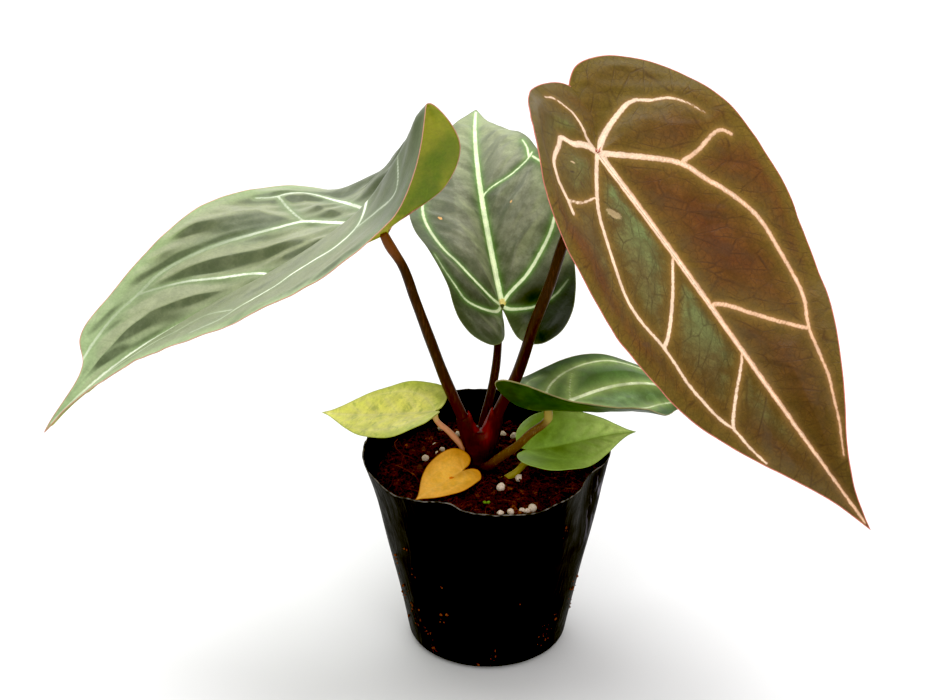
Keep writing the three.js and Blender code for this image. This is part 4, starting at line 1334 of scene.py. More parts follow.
LEAVES = (
    Leaf(
        name="left_leaf", joint=(-38.4, -6, 183.3), length=156, widths=((1.45, 1.31, 1.17, 1.09),
        (1.62, 1.55, 1.32, 1.18)), lobes=(1.29, 1.16),
        tip=(1, ((0.69, 0.137), (0.79, 0.093), (0.82, 0.046))), pitch=(-20, -24, -25, -43),
        heading=(188, 185, 188, 206), bank=(-13, 3, 3, -10),
        fold=((84, 73, 52, 25), (51, 27, 28, 50)), curl=((27, 14, -9, -16), (-77, -42, 8, -17)),
        roll=(-123, -87, -41, 13), crest=(0.28, 0.11, 0.02, -0.02), wave=0.3, waves=4,
        stalk=((-8.6, 0, 95.5), (-11, 0, 101.3), (-16.7, -1, 116.1), (-22.2, -2, 132.8),
        (-28.7, -3.5, 153.3), (-33, -5, 167.3)), stalk_radii=(2.4, 1.75), veins=LEFT_LEAF_VEINS,
        rows=270, columns=80, pillow=4, pillow_reach=13, left_relief=0.25, fold_depth=0.4,
        fold_stretch=(0.3, 1.0), ruffle=0.5,
    ),
    Leaf(
        name="back_leaf", joint=(5.4, 24, 137.2), length=148, widths=((0.8, 0.77, 0.81, 0.92),
        (0.81, 0.78, 0.84, 0.94)), lobes=(0.99, 1.03), pitch=(14, 30, 13, -9),
        heading=(102, 101, 94, 87), bank=(0, 5, -8, 6), fold=((42, 52, 21, 12), (37, 42, 33, -7)),
        curl=((-44, -48, -61, -49), (-29, -22, -22, -50)), wave=1, waves=3,
        stalk=((-2.8, 3.6, 88.5), (-1.6, 6.2, 95.5), (0.2, 8, 101.5), (3, 12, 114.5),
        (4, 17, 123.2)), stalk_radii=(1.95, 1.5), veins=BACK_LEAF_VEINS, pillow=1.4, pillow_reach=8,
    ),
    Leaf(
        name="right_leaf", joint=(39.8, -12, 216.4), length=171, widths=((1.09, 1.1, 1.11, 1.12),
        (1.08, 1.09, 1.15, 1.16)), lobes=(0.96, 1.05), lap=(0.11, 3), pitch=(-49, -43, -45, -35),
        heading=(-24, -35, -36, -50), bank=(-4, -1, 3, 20),
        fold=((9, 24, 35, 65), (5, 10, -3, -18)), curl=((25, 7, -12, -14), (20, 7, -8, -26)),
        wave=0.5, waves=4, stalk=((2.3, 0.5, 97.5), (6.7, -1, 108.5), (11.1, -4, 119.8),
        (17.9, -8, 145), (23.4, -10, 162.2), (27.8, -10, 178.1), (34.2, -8, 196)),
        stalk_radii=(2.4, 2), veins=RIGHT_LEAF_VEINS, rows=270, columns=80, pillow=1.2,
        pillow_reach=8, ruffle=0.45,
    ),
    Leaf(
        name="low_leaf", joint=(22.1, -14, 110.8), length=84,
        widths=((1, 0.98, 0.98, 1), (1.07, 1.21, 1.31, 1.36)), lobes=(0.29, 1.68),
        pitch=(-34, -2, -11, -57), heading=(-5, 26, 33, 17), bank=(-8, -4, 11, 6),
        fold=((35, 19, 13, -9), (36, 12, -29, -53)), curl=((-8, -18, -20, -21), (22, 24, 64, 89)),
        wave=0.2, waves=3, stalk=((-2.4, -3.4, 78), (0.2, -7.6, 81.4), (5.4, -13, 88.8),
        (11.3, -15.4, 94.7), (16.3, -16, 100.4)), stalk_radii=(2, 1.5),
        veins=plain_veins((0.9, 0.3), 0.55, 1), rows=130, columns=40, pillow=0.9,
    ),
    Leaf(
        name="light_leaf", joint=(15.5, -8, 88.8), length=48.5,
        widths=((1.1, 1.1, 1.1, 1.1), (1.07, 1.07, 1.07, 1.07)), lobes=(0.46, 0.46),
        pitch=(0, 5, 0, -11), heading=(-2, 3, 25, 27), bank=(-1, 1, 12, 12),
        fold=((28, 38, 55, 50), (14, 9, -8, -28)), curl=((-36, -31, -18, -15), (-8, -9, -15, -23)),
        wave=0.3, waves=3, stalk=((-0.6, -2.6, 71), (3.2, -6.6, 73.4), (7.6, -8.8, 76.6),
        (11.4, -9.4, 79.8), (14.4, -9, 83)), stalk_radii=(1.6, 1.2),
        veins=plain_veins((0.45, 0.2), 0.3), rows=90, columns=30, pillow=0.4, pillow_reach=4,
        ruffle=0.2,
    ),
    Leaf(
        name="yellow_leaf", joint=(-20.8, 0, 102.2), length=56.5, widths=((0.97, 0.97, 0.97, 0.97),
        (0.95, 0.95, 0.95, 0.95)), lobes=(0.3, 0.3), pitch=(-15, -14, -15, -14),
        heading=(169, 165, 151, 138), bank=(7, -1, -9, -10),
        fold=((27, 17, -1, -15), (0, 21, 35, 38)),
        curl=((-13, -16, -27, -35), (-31, -16, -14, -22)), wave=0.3, waves=3,
        stalk=((-5.6, 1.2, 79.5), (-8.8, 0.6, 83.4), (-11.4, 0.2, 87.6), (-15.6, 0, 92.8)),
        stalk_radii=(1.5, 1.1), veins=plain_veins((0.45, 0.2), 0.3), rows=90, columns=30,
        pillow=0.5, pillow_reach=4, ruffle=0.12,
    ),
    Leaf(
        name="orange_leaf", joint=(-10, -10, 80.5), length=30.5, widths=((1.14, 1.14, 1.14, 1.14),
        (1.17, 1.17, 1.17, 1.17)), lobes=(0.99, 0.99), pitch=(-4, -4, 2, 2),
        heading=(207, 222, 234, 235), bank=(-5, -6, -2, -11),
        fold=((5, 14, 2, -23), (31, 41, 25, 23)), curl=((-24, -19, -21, -32), (0, 0, -17, -28)),
        wave=0.2, waves=2, stalk=((-5.8, -2.6, 74), (-8, -6.4, 75.8), (-9.2, -8.4, 77.6)),
        stalk_radii=(1.3, 1), veins=plain_veins((0.3, 0.12), 0.2), rows=70, columns=24, pillow=0.15,
        ruffle=0.08,
    ),
)


@dataclass(frozen=True)
class LeafBlade:
    """A veined blade with quilted cells, a thin rounded margin and raised ribs underneath."""

    leaf: Leaf

    def grid(self) -> tuple[Array, Array, Array, Array]:
        """Lays a grid over both halves, from the left margin over the midrib to the right one.

        Each row runs from the midrib, or from the stalk in the lobes, to the outline.

        Returns:
            Shares along, signed shares aside, which half, and the points.
        """
        columns = self.leaf.columns
        t = np.linspace(0, 1, self.leaf.rows + 1)
        share = 1 - (1 - np.linspace(0, 1, columns + 1)) ** 1.15
        halves = []
        for half in (0, 1):
            edge_along, edge_aside = self.leaf.outline(t, half)
            foot = np.maximum(edge_along, 0)[:, None]
            along = foot + (edge_along[:, None] - foot) * share
            aside = edge_aside[:, None] * share
            point = self.leaf.point_at(along, aside, half)
            halves.append((along, aside * (1 - 2 * half), point))
        along, side, point = (np.hstack([a[:, ::-1], b[:, 1:]]) for a, b in zip(*halves))
        half = np.zeros_like(along)
        half[:, columns + 1 :] = 1
        return along, side, half, point

    def vein_gaps(self, flat: Array, half: Array) -> tuple[Array, Array, Array]:
        """Measures how far each flat place is from the edge of the nearest vein.

        Args:
            flat: Flat places, in millimetres, the left half positive.
            half: Which half each place is on.

        Returns:
            The gap, negative inside a vein, the local rib height, and how plainly the vein shows.
        """
        gap = np.full(len(flat), FAR_FROM_VEINS)
        rib, ink = np.zeros((2, len(flat)))
        for vein in self.leaf.veins:
            line = curve_points(np.array(vein.places) * self.leaf.length, 5 * len(vein.places))
            line[:, 1] *= 1 - 2 * vein.half
            distance, share = segment_distances(flat, line)
            width = vein.widths[0] + (vein.widths[1] - vein.widths[0]) * share
            other = (half != vein.half) & (np.abs(line[:, 1]).max() > 0.5)
            distance = np.where(other, distance + 0.6, distance)
            shown = np.interp(share, np.linspace(0, 1, len(vein.shown)), vein.shown)
            ink = np.where(distance - width < gap, shown, ink)
            gap = np.minimum(gap, distance - width)
            rib = np.maximum(rib, width * hump(distance, 0, 0.8 * width + 0.25))
        return gap, rib, ink

    def relief(self, flat: Array, gap: Array, margin: Array) -> Array:
        """Finds how far the upper face is pushed up between the veins.

        The height grows with the distance from the nearest vein. Soft folds cross the cells, and
        the margin is flat but for its ruffle.

        Args:
            flat: Flat places, in millimetres.
            gap: How far each is from a vein.
            margin: How far each is from the outline.

        Returns:
            The heights, in millimetres.
        """
        s = self.leaf
        cell = np.clip(gap, 0, None)
        slanted = np.stack([flat[:, 0] - 0.7 * np.abs(flat[:, 1]), flat[:, 1]], -1) * s.fold_stretch
        folds = value_noise(slanted, 8.0, 5) + 0.5 * value_noise(slanted + 70, 4.0, 9)
        rise = s.pillow * (1 - hump(cell, 0, s.pillow_reach)) * (1 + s.fold_depth * folds)
        rise += 0.25 * s.pillow * folds * smooth_step(cell / 3)
        rise *= 1 - (1 - s.left_relief) * smooth_step(flat[:, 1] / 4)
        rise *= smooth_step(margin / FLAT_MARGIN)
        ripple = value_noise(flat + 300, 11.0, 21) + 0.5 * value_noise(flat + 900, 5.5, 22)
        return rise + s.ruffle * np.exp(-margin / RUFFLE_REACH) * ripple

    def data(self) -> MeshData:
        """Builds the closed blade.

        The lower face lies under the upper one by the thickness and by the ribs.

        Returns:
            The mesh, with the gaps to the veins and the margin, the face and the side.
        """
        along, side, half, point = self.grid()
        rows, width = along.shape
        flat = np.stack([along.ravel(), side.ravel()], -1) * self.leaf.length
        gap, rib, ink = self.vein_gaps(flat, half.ravel())
        margin = self.margin_gaps(flat, along, side)
        rise = self.relief(flat, gap, margin)
        fall = np.gradient(side * self.leaf.length, axis=1)
        fall = np.where(np.abs(fall) < 0.05, -0.05, fall)
        # How steeply the relief leans across the leaf, which the leaf material turns into painted
        # shade and painted highlight.
        lean = np.clip(-np.gradient(rise.reshape(rows, width), axis=1) / fall, -1, 1)
        number = self.joined_numbers(along)
        faces = number.ravel()[grid_faces(rows, width)]
        normal = self.normals(point.reshape(-1, 3), faces)
        upper = point.reshape(-1, 3) + rise[:, None] * normal
        deep = self.leaf.thickness * smooth_step(margin / EDGE_ROUNDING + 0.35) + RIB_DEPTH * rib
        count = len(upper)
        below = faces[:, ::-1] + count
        first, last = number[:, 0], number[:, -1]
        down, back = np.stack([first[:-1], first[1:]], -1), np.stack([last[1:], last[:-1]], -1)
        edges = np.vstack([down, back])
        rim = np.hstack([edges, edges[:, ::-1] + count])
        quads = [self.cleaned(q) for q in np.vstack([faces, below, rim]).tolist()]
        quads = [q for q in quads if len(q) > 2]
        used = np.unique(np.concatenate(quads))
        renumber = np.zeros(2 * count, int)
        renumber[used] = np.arange(len(used))
        values = {
            "vein_gap": gap, "vein_ink": ink, "edge_gap": margin, "half_share": side.ravel(),
            "reach": along.ravel(), "lean": lean.ravel(),
        }
        values = {key: np.tile(numbers, 2)[used] for key, numbers in values.items()}
        values["under"] = np.repeat([0.0, 1.0], count)[used]
        points = np.vstack([upper, upper - deep[:, None] * normal])[used]
        quads = [tuple(renumber[q].tolist()) for q in quads]
        return MeshData(points, quads, values, np.vstack([flat, flat])[used])

    def margin_gaps(self, flat: Array, along: Array, side: Array) -> Array:
        """Measures how far each flat place is from the leaf's outline.

        Args:
            flat: Flat places, in millimetres.
            along: Shares along, as a grid.
            side: Signed shares aside, as a grid.

        Returns:
            The distances, in millimetres.
        """
        columns = self.leaf.columns
        gaps = np.full(len(flat), np.inf)
        for column, own_columns in ((0, slice(columns + 1)), (-1, slice(columns, None))):
            line = np.stack([along[:, column], side[:, column]], -1) * self.leaf.length
            distance, _ = segment_distances(flat, line[::2])
            own = np.zeros(along.shape, bool)
            own[:, own_columns] = True
            gaps = np.where(own.ravel(), np.minimum(gaps, distance), gaps)
        return gaps

    def joined_numbers(self, along: Array) -> Array:
        """Numbers the grid's points, with the repeated ones at the stalk and the tip joined.

        Args:
            along: Shares along, as a grid.

        Returns:
            The number of each point, as a grid.
        """
        number = np.arange(along.size).reshape(along.shape)
        middle = self.leaf.columns
        number[0, :] = middle
        number[-1, :] = number[-1, middle]
        number[np.minimum(along[:, 0], along[:, -1]) <= 0, middle] = middle
        return number

    @staticmethod
    def cleaned(corners: list[int]) -> list[int]:
        """Leaves out a face's corner that repeats the one before it."""
        return [c for i, c in enumerate(corners) if c != corners[i - 1]]

    @staticmethod
    def normals(points: Array, faces: Array) -> Array:
        """Averages the faces' normals at each point.

        Args:
            points: Points, one a row.
            faces: Four point numbers a row.

        Returns:
            Unit normals on the upper side.
        """
        a, b, c, d = (points[column] for column in faces.T)
        face = np.cross(c - a, d - b)
        total = np.zeros_like(points)
        for column in faces.T:
            np.add.at(total, column, face)
        return total / np.maximum(np.linalg.norm(total, axis=1), 1e-9)[:, None]

    def build(self, finish: LeafFinish) -> Piece:
        """Makes the blade and puts it in the node's place.

        Args:
            finish: The leaf's colours.

        Returns:
            The blade.
        """
        node = f"{self.leaf.name}_blade"
        piece = make_object(f"{self.leaf.name}_veined_blade", self.data(), finish.material())
        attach(piece, "root")
        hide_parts(node)
        return piece


@dataclass(frozen=True)
class LeafStalk:
    """A round stalk, thicker at its foot, with a knuckle under the blade."""

    leaf: Leaf
    sides: int = 22
    steps: int = 90
    knuckle_place: float = 0.93
    knuckle_width: float = 0.045
    knuckle_swell: float = 0.14
    waver: float = 0.02
    end_taper: Pair = (0.97, 0.9)

    def build(self, finish: StalkFinish) -> Piece:
        """Makes the stalk and puts it in the node's place.

        Args:
            finish: The stalk's colours.

        Returns:
            The stalk.
        """
        line = curve_points(self.leaf.stalk_line(), self.steps)
        climb = np.linspace(0, 1, self.steps)
        foot, top = self.leaf.stalk_radii
        radii = foot + (top - foot) * climb
        radii *= 1 + self.knuckle_swell * hump(climb, self.knuckle_place, self.knuckle_width)
        radii *= 1 + self.waver * np.sin(25 * climb + foot)
        radii[-2:] *= self.end_taper
        data = tube_data(line, radii, self.sides, {"climb": climb})
        node = f"{self.leaf.name}_petiole"
        piece = make_object(f"{self.leaf.name}_stalk", data, finish.material())
        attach(piece, "root")
        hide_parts(node)
        return piece


# Crown


@dataclass(frozen=True)
class Crown:
    """The short forked stem: limbs grown together, thin sheath edges, and roots.

    Each runs through points [x, y, z, radius].
    """

    limbs: tuple = (
        (
            (-2, 0, 56, 4.2), (-2.8, 0, 66, 5.4), (-3.2, 0, 76, 5.2), (-3.2, 0, 84, 5.3),
            (-3, 0.6, 90, 6), (-2.8, 1, 93.5, 4.8),
        ),
        ((-4.4, 0, 84, 4.4), (-6.8, 0, 90.5, 4.2), (-9, 0, 96.5, 3.4), (-10.3, -0.1, 99.8, 2.7)),
        ((-1.6, 0.2, 84, 4.4), (0.6, 0.3, 91, 4.2), (2.7, 0.6, 98, 3.4), (3.7, 0.8, 102, 2.7)),
    )
    sheaths: tuple = (
        (
            (-5.4, -1.4, 91, 1.8), (-6.4, -1.4, 96, 1.3), (-7.1, -1.4, 100, 0.9),
            (-8, -1.4, 103.4, 0.35),
        ),
        (
            (-0.8, -1.2, 91, 1.8), (0.2, -1.3, 96.5, 1.3), (1, -1.3, 101, 0.9),
            (1.8, -1.2, 104.6, 0.35),
        ),
    )
    roots: tuple = (
        ((-3, -1, 64, 2.2), (-9, -9, 52, 2), (-14, -16, 36, 1.7), (-13, -19, 20, 1.2)),
        ((-1, -2, 62, 2.2), (6, -10, 48, 2), (11, -14, 32, 1.7), (14, -12, 16, 1.2)),
        ((-1, 2, 64, 2.2), (7, 10, 52, 2), (15, 16, 36, 1.7), (14, 20, 22, 1.2)),
        ((-4, 2, 62, 2.2), (-12, 8, 50, 2), (-19, 13, 34, 1.7), (-16, 15, 18, 1.2)),
    )
    fork: tuple = (
        (-6.6, 0, 97), (-4.6, -1, 91.5), (-2.6, -1, 88.6), (-0.8, -1, 91.5), (0.6, 0, 98),
    )
    voxel: float = 0.42
    smoothing: int = 6
    wrinkle: float = 0.16
    wrinkle_size: float = 1.3
    scar: float = 0.25
    scar_heights: Pair = (80.5, 86)
    sheath_start: float = 86
    root_top: float = 78
    fork_radius: float = 1.6
    # Where the painted highlight by the fork is centred, across and up.
    fork_highlight_place: Pair = (-0.2, 93.5)

    def limb(self, points: tuple, steps: int, sides: int) -> MeshData:
        """Makes one limb, through points with their radii, as a tube."""
        line = curve_points(np.array(points, float), steps)
        return tube_data(line[:, :3], line[:, 3], sides)

    def build(self, finish: CrownFinish) -> Piece:
        """Joins the limbs into one skin and marks the sheath edges and the roots.

        Args:
            finish: The crown's colours.

        Returns:
            The crown.
        """
        parts = [self.limb(p, 30, 20) for p in self.limbs + self.sheaths]
        parts += [self.limb(p, 24, 12) for p in self.roots]
        piece = make_object("crown_skin", merged(parts), finish.material())
        remesh = piece.modifiers.new("join", "REMESH")
        remesh.mode = "VOXEL"
        remesh.voxel_size = self.voxel * MM
        remesh.use_smooth_shade = True
        smooth = piece.modifiers.new("soften", "SMOOTH")
        smooth.factor = 0.5
        smooth.iterations = self.smoothing
        apply_modifiers(piece)
        self.mark(piece.data)
        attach(piece, "root")
        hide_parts("crown")
        return piece

    def mark(self, mesh: bpy.types.Mesh) -> None:
        """Wrinkles the skin lengthwise and names each point's nearness to a sheath or root.

        The skin moves along its normal by noise that is stretched upwards, and by two rings where
        old sheaths came off.

        Args:
            mesh: The joined crown's mesh.
        """
        place, normal = np.empty((2, len(mesh.vertices) * 3))
        mesh.vertices.foreach_get("co", place)
        mesh.vertices.foreach_get("normal", normal)
        points = place.reshape(-1, 3) / MM
        x, _, z = points.T
        low, high = self.scar_heights
        moved = self.wrinkle * value_noise(points * [1, 1, 0.2], self.wrinkle_size, 4)
        moved += self.scar * (hump(z, low, 0.7) - hump(z, high, 0.8))
        mesh.vertices.foreach_set("co", place + normal * np.repeat(moved, 3) * MM)
        lines = [np.array(line)[:, :3] for line in self.sheaths]
        near = np.min([segment_distances(points, line)[0] for line in lines], axis=0)
        fork, _ = segment_distances(points, np.array(self.fork))
        near = np.minimum(near, fork - self.fork_radius)
        values = {
            "sheath": smooth_step(1.2 - near) * smooth_step((z - self.sheath_start) / 4),
            "rooted": smooth_step((self.root_top - z) / 6),
            # Where the painted crimson highlight by the fork goes.
            "fork_highlight_mask": hump(x, self.fork_highlight_place[0], 2) * hump(z, self.fork_highlight_place[1], 4),
        }
        name_values(mesh, values)
        mesh.update()


def apply_modifiers(piece: Piece) -> None:
    """Replaces a piece's mesh by what its modifiers make of it.

    Args:
        piece: The piece.
    """
    graph = bpy.context.evaluated_depsgraph_get()
    shaped = bpy.data.meshes.new_from_object(piece.evaluated_get(graph))
    old = piece.data
    piece.modifiers.clear()
    piece.data = shaped
    bpy.data.meshes.remove(old)


# Pot


@dataclass(frozen=True)
class Pot:
    """A thin black film cup with a crinkled wall, a wavy rim and drain holes."""

    height: float = 83.5
    foot_radius: float = 31.8
    flare: float = 0.196
    lip_flare: float = 1.34
    lip_height: float = 16
    corner: float = 3
    film: float = 0.5
    floor: float = 1
    crinkle: float = 0.45
    slack_start: float = 6
    slack_height: float = 40
    crease_start: float = 40
    crease_height: float = 40
    crease_radius: float = 42
    crease_sizes: Pair = (9, 4.2)
    crease_depths: Pair = (0.22, 0.1)
    dent_depth: float = 5.6
    dent_turn: float = -28
    dent_half_width: float = 16
    dent_start: float = 50
    dent_height: float = 33
    rim_heights: tuple[Pair, ...] = (
        (-180, 84.9), (-155, 83.7), (-141, 81.6), (-128, 84.2), (-116, 86.9), (-108, 88.2),
        (-102, 85.1), (-95, 83.7), (-75, 82), (-65, 81.1), (-55, 83.6), (-25, 84.2), (0, 84.2),
        (20, 83), (60, 85.5), (90, 86.5), (120, 86), (180, 84.9),
    )
    rim_noise_radius: float = 40
    rim_jitter: float = 0.25
    rim_jitter_size: float = 2.2
    rim_rise: float = 0.15
    glare_turn: float = -0.16
    glare_half_width: float = 0.2
    glare_start: float = 34
    glare_height: float = 30
    hole_radius: float = 3
    hole_ring: float = 21
    holes: int = 6
    columns: int = 360
    rows: int = 84
    floor_rows: int = 4

    def radius(self, z: Array, angle: Array) -> Array:
        """Finds the outer radius of the plain wall: a cone with a lip, slack waves and a dent.

        Args:
            z: Heights.
            angle: Angles round the pot.

        Returns:
            The radii.
        """
        above = z - (self.height - self.lip_height)
        lip = self.lip_flare * np.maximum(0, above / self.lip_height) ** 2
        slack = np.clip((z - self.slack_start) / self.slack_height, 0, 1)
        waves = np.sin(5 * angle + 0.05 * z) + 0.7 * np.sin(9 * angle - 0.07 * z + 1.3)
        waves += 0.6 * np.sin(3 * angle + 0.11 * z + 0.4)
        turn = np.angle(np.exp(1j * (angle - math.radians(self.dent_turn))))
        climb = np.clip((z - self.dent_start) / self.dent_height, 0, 1) ** 1.5
        dent = self.dent_depth * climb * hump(turn, 0, math.radians(self.dent_half_width))
        return self.foot_radius + self.flare * z + lip + self.crinkle * slack * waves - dent

    def rim_height(self, angle: Array) -> Array:
        """Finds the uneven height of the rim at angles round the pot."""
        turns, heights = np.array(self.rim_heights).T
        return smooth_value(np.degrees(np.angle(np.exp(1j * angle))), turns, heights)

    def creases(self, z: Array, angle: Array) -> Array:
        """Adds fine film creases: sharp-backed noise, stretched upwards, stronger near the rim.

        Args:
            z: Heights.
            angle: Angles round the pot.

        Returns:
            How far the film moves outwards.
        """
        place = on_circle(self.crease_radius, angle, 0.4 * z).reshape(-1, 3)
        deep_wide, deep_fine = self.crease_depths
        wide = 1 - 2 * np.abs(value_noise(place, self.crease_sizes[0], 31))
        fine = 1 - 2 * np.abs(value_noise(place + 50, self.crease_sizes[1], 32))
        slack = 0.12 + smooth_step((z - self.crease_start) / self.crease_height)
        return (deep_wide * wide + deep_fine * fine).reshape(z.shape) * slack

    def build(self, finish: FilmFinish) -> Piece:
        """Makes the film cup, cuts its drain holes and puts it in the node's place.

        Args:
            finish: The film's colours.

        Returns:
            The pot.
        """
        angle = np.linspace(0, FULL_TURN, self.columns, endpoint=False)
        rim = on_circle(self.rim_noise_radius, angle, 0)
        top = self.rim_height(angle) + self.rim_jitter * value_noise(rim, self.rim_jitter_size, 40)
        z = np.linspace(0, 1, self.rows)[:, None] * top
        around = np.broadcast_to(angle, z.shape)
        radius = self.radius(z, around) + self.creases(z, around)
        radius -= self.corner * (1 - np.clip(z / self.corner, 0, 1)) ** 2
        edge = on_circle(radius[-1:] - self.film / 2, angle, top + self.rim_rise)
        inner = on_circle(radius - self.film, angle, np.maximum(z, self.floor))
        inner = inner[self.floor_rows :]
        rings = np.concatenate([on_circle(radius, angle, z), edge, inner[::-1]])
        points, faces = capped(rings, [[0, 0, 0], [0, 0, self.floor]])
        gap = np.abs(np.concatenate([(top - rings[:, :, 2]).ravel(), [self.height] * 2]))
        turn = np.arctan2(points[:, 1], points[:, 0])
        climb = smooth_step((points[:, 2] - self.glare_start) / self.glare_height)
        glare = hump(turn, self.glare_turn, self.glare_half_width) * climb
        data = MeshData(points, faces, {"rim_gap": gap, "glare": glare})
        piece = make_object("pot_film", data, finish.material())
        self.cut_holes(piece)
        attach(piece, "root")
        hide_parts("pot")
        return piece

    def cut_holes(self, piece: Piece) -> None:
        """Cuts the drain holes through the floor.

        Args:
            piece: The closed film cup.
        """
        radius, ring = self.hole_radius * MM, self.hole_ring * MM
        cutter = bmesh.new()
        for turn in np.arange(self.holes) * FULL_TURN / self.holes:
            made = bmesh.ops.create_cone(
                cutter, cap_ends=True, segments=24, radius1=radius, radius2=radius, depth=6 * MM
            )
            shift = (ring * math.cos(turn), ring * math.sin(turn), 0.5 * MM)
            bmesh.ops.translate(cutter, verts=made["verts"], vec=shift)
        mesh = bpy.data.meshes.new("cutter")
        cutter.to_mesh(mesh)
        cutter.free()
        tool = linked("cutter", mesh)
        cut = piece.modifiers.new("holes", "BOOLEAN")
        cut.operation = "DIFFERENCE"
        cut.solver = "EXACT"
        cut.object = tool
        apply_modifiers(piece)
        bpy.data.objects.remove(tool)
        bpy.data.meshes.remove(mesh)


# Soil and litter


@dataclass(frozen=True)
class Soil:
    """Lumpy coir soil with bark chips, fibres and white beads on it.

    Its clods are given as (share of their height, size, seed).
    """

    pot: Pot
    level: float = 76
    foot: float = 1.5
    fall_at_wall: float = 2.2
    mound_radius: float = 46
    lump_height: float = 1.1
    clod_height: float = 1.7
    clod_sink: float = 0.7
    clods: tuple[Point, ...] = ((1, 5.2, 51), (0.6, 2.3, 52), (0.35, 1.1, 53))
    wall_gap: float = 0.5
    chip_count: int = 420
    chip_reach: Pair = (7, 42.5)
    fibre_count: int = 230
    fibre_reach: Pair = (8, 42)
    fibre_end: float = 43
    fibre_lengths: Pair = (3, 11)
    fibre_radii: Pair = (0.07, 0.17)
    rings: int = 120
    columns: int = 300
    wall_heights: tuple[float, ...] = (1.5, 6, 20, 40, 58, 70)
    bead_places: tuple[Point, ...] = (
        (-19.3, 34.7, 1.3), (-12.1, 27.6, 1.3), (-21.6, 18.1, 1.1), (-20.3, 12.9, 1.2),
        (-25.3, 7.8, 1.5), (6.2, 27.5, 1.9), (11.1, 26, 1.7), (12.4, -11.2, 1.7), (5.1, -18.6, 1.9),
        (4.6, -36.5, 1.5), (8.6, -35.3, 1.4), (13, -34.2, 1.3), (17.2, -33, 1.8),
        (-18.5, 15.4, 1.2), (15.2, -34.4, 1.2),
    )
    long_fibres: tuple[tuple[Point, ...], ...] = (
        ((-38, 0, 77.4), (-35.5, -4, 79), (-32.5, -8, 79.6), (-29.5, -11, 79.2), (-27, -15.5, 78)),
        ((-37, 22, 77.5), (-38, 16, 79), (-37, 9, 80), (-34, 4, 79.4), (-33, 0, 77.8)),
        ((-36.5, -17.5, 76), (-36.2, -18, 79), (-35.2, -18.4, 81.6)),
        ((-30, 6, 77), (-33, 4, 79.5), (-34, 2, 80.5), (-35, -1, 78)),
        ((4, -28, 77), (7, -31, 79), (11, -31.5, 78.5)),
    )
    random: np.random.Generator = field(default_factory=lambda: np.random.default_rng(7))

    def height(self, x: Array, y: Array) -> Array:
        """Finds the plain surface height: a low mound with lumps, falling towards the wall.

        Args:
            x: Places across.
            y: Places away.

        Returns:
            The heights.
        """
        out = np.hypot(x, y) / self.mound_radius
        lumps = np.sin(0.31 * x + 0.7) * np.cos(0.27 * y - 0.4)
        lumps += 0.6 * np.sin(0.52 * x - 0.44 * y + 1.9) + 0.4 * np.cos(0.83 * x + 0.61 * y)
        return self.level - self.fall_at_wall * out**3 + self.lump_height * lumps / 2

    def body(self) -> MeshData:
        """Builds the closed body of soil with clods of several sizes on its surface.

        Returns:
            The mesh.
        """
        angle = np.linspace(0, FULL_TURN, self.columns, endpoint=False)
        inset = self.pot.film + self.wall_gap
        wall = np.array(self.wall_heights)[:, None]
        radius = self.pot.radius(wall, angle) - inset - np.where(wall < 3, 2.5, 0)
        rim = self.pot.radius(73.0, angle) - inset
        share = np.linspace(1, 0.004, self.rings)[:, None] ** 0.8
        flat = on_circle(share * rim, angle, 0).reshape(-1, 3)
        clods = sum(k * np.abs(value_noise(flat, size, seed)) for k, size, seed in self.clods)
        z = self.height(flat[:, 0], flat[:, 1]).reshape(self.rings, self.columns)
        clods = self.clod_height * clods.reshape(z.shape) - self.clod_sink
        z += clods * np.minimum(1, 12 * (1.02 - share))
        rings = [on_circle(radius, angle, wall), on_circle(share * rim, angle, z)]
        poles = [[0, 0, self.foot], [0, 0, z[-1].mean()]]
        return MeshData(*capped(np.concatenate(rings), poles), {})

    def spots(self, count: int, inner: float, outer: float) -> Array:
        """Picks even random places on the soil.

        Args:
            count: How many.
            inner: Least distance from the middle.
            outer: Greatest distance from the middle.

        Returns:
            Places, one a row.
        """
        angle = self.random.uniform(0, FULL_TURN, count)
        out = np.sqrt(self.random.uniform(inner**2, outer**2, count))
        return on_circle(out, angle, 0)[:, :2]

    def lump(self, centre: Array, size: Point, rough: float, seed: int, level: int) -> MeshData:
        """Makes one lump: a ball pushed in and out by noise, stretched and turned at random.

        Args:
            centre: Where it is.
            size: Its half lengths.
            rough: How uneven it is.
            seed: Chooses its shape.
            level: How finely the ball is cut.

        Returns:
            The closed lump.
        """
        ball = bmesh.new()
        bmesh.ops.create_icosphere(ball, subdivisions=level, radius=1.0)
        points = np.array([v.co[:] for v in ball.verts])
        faces = [tuple(v.index for v in f.verts) for f in ball.faces]
        ball.free()
        points *= (1 + rough * value_noise(points + seed, 0.7, 60 + seed % 7))[:, None] * size
        turn, tilt = self.random.uniform(0, FULL_TURN), self.random.uniform(-0.5, 0.5)
        c, s = math.cos(turn), math.sin(turn)
        spin = np.array([[c, -s, 0], [s, c, 0], [0, 0, 1]])
        c, s = math.cos(tilt), math.sin(tilt)
        lean = np.array([[c, 0, s], [0, 1, 0], [-s, 0, c]])
        return MeshData(points @ (spin @ lean).T + centre, faces, {})

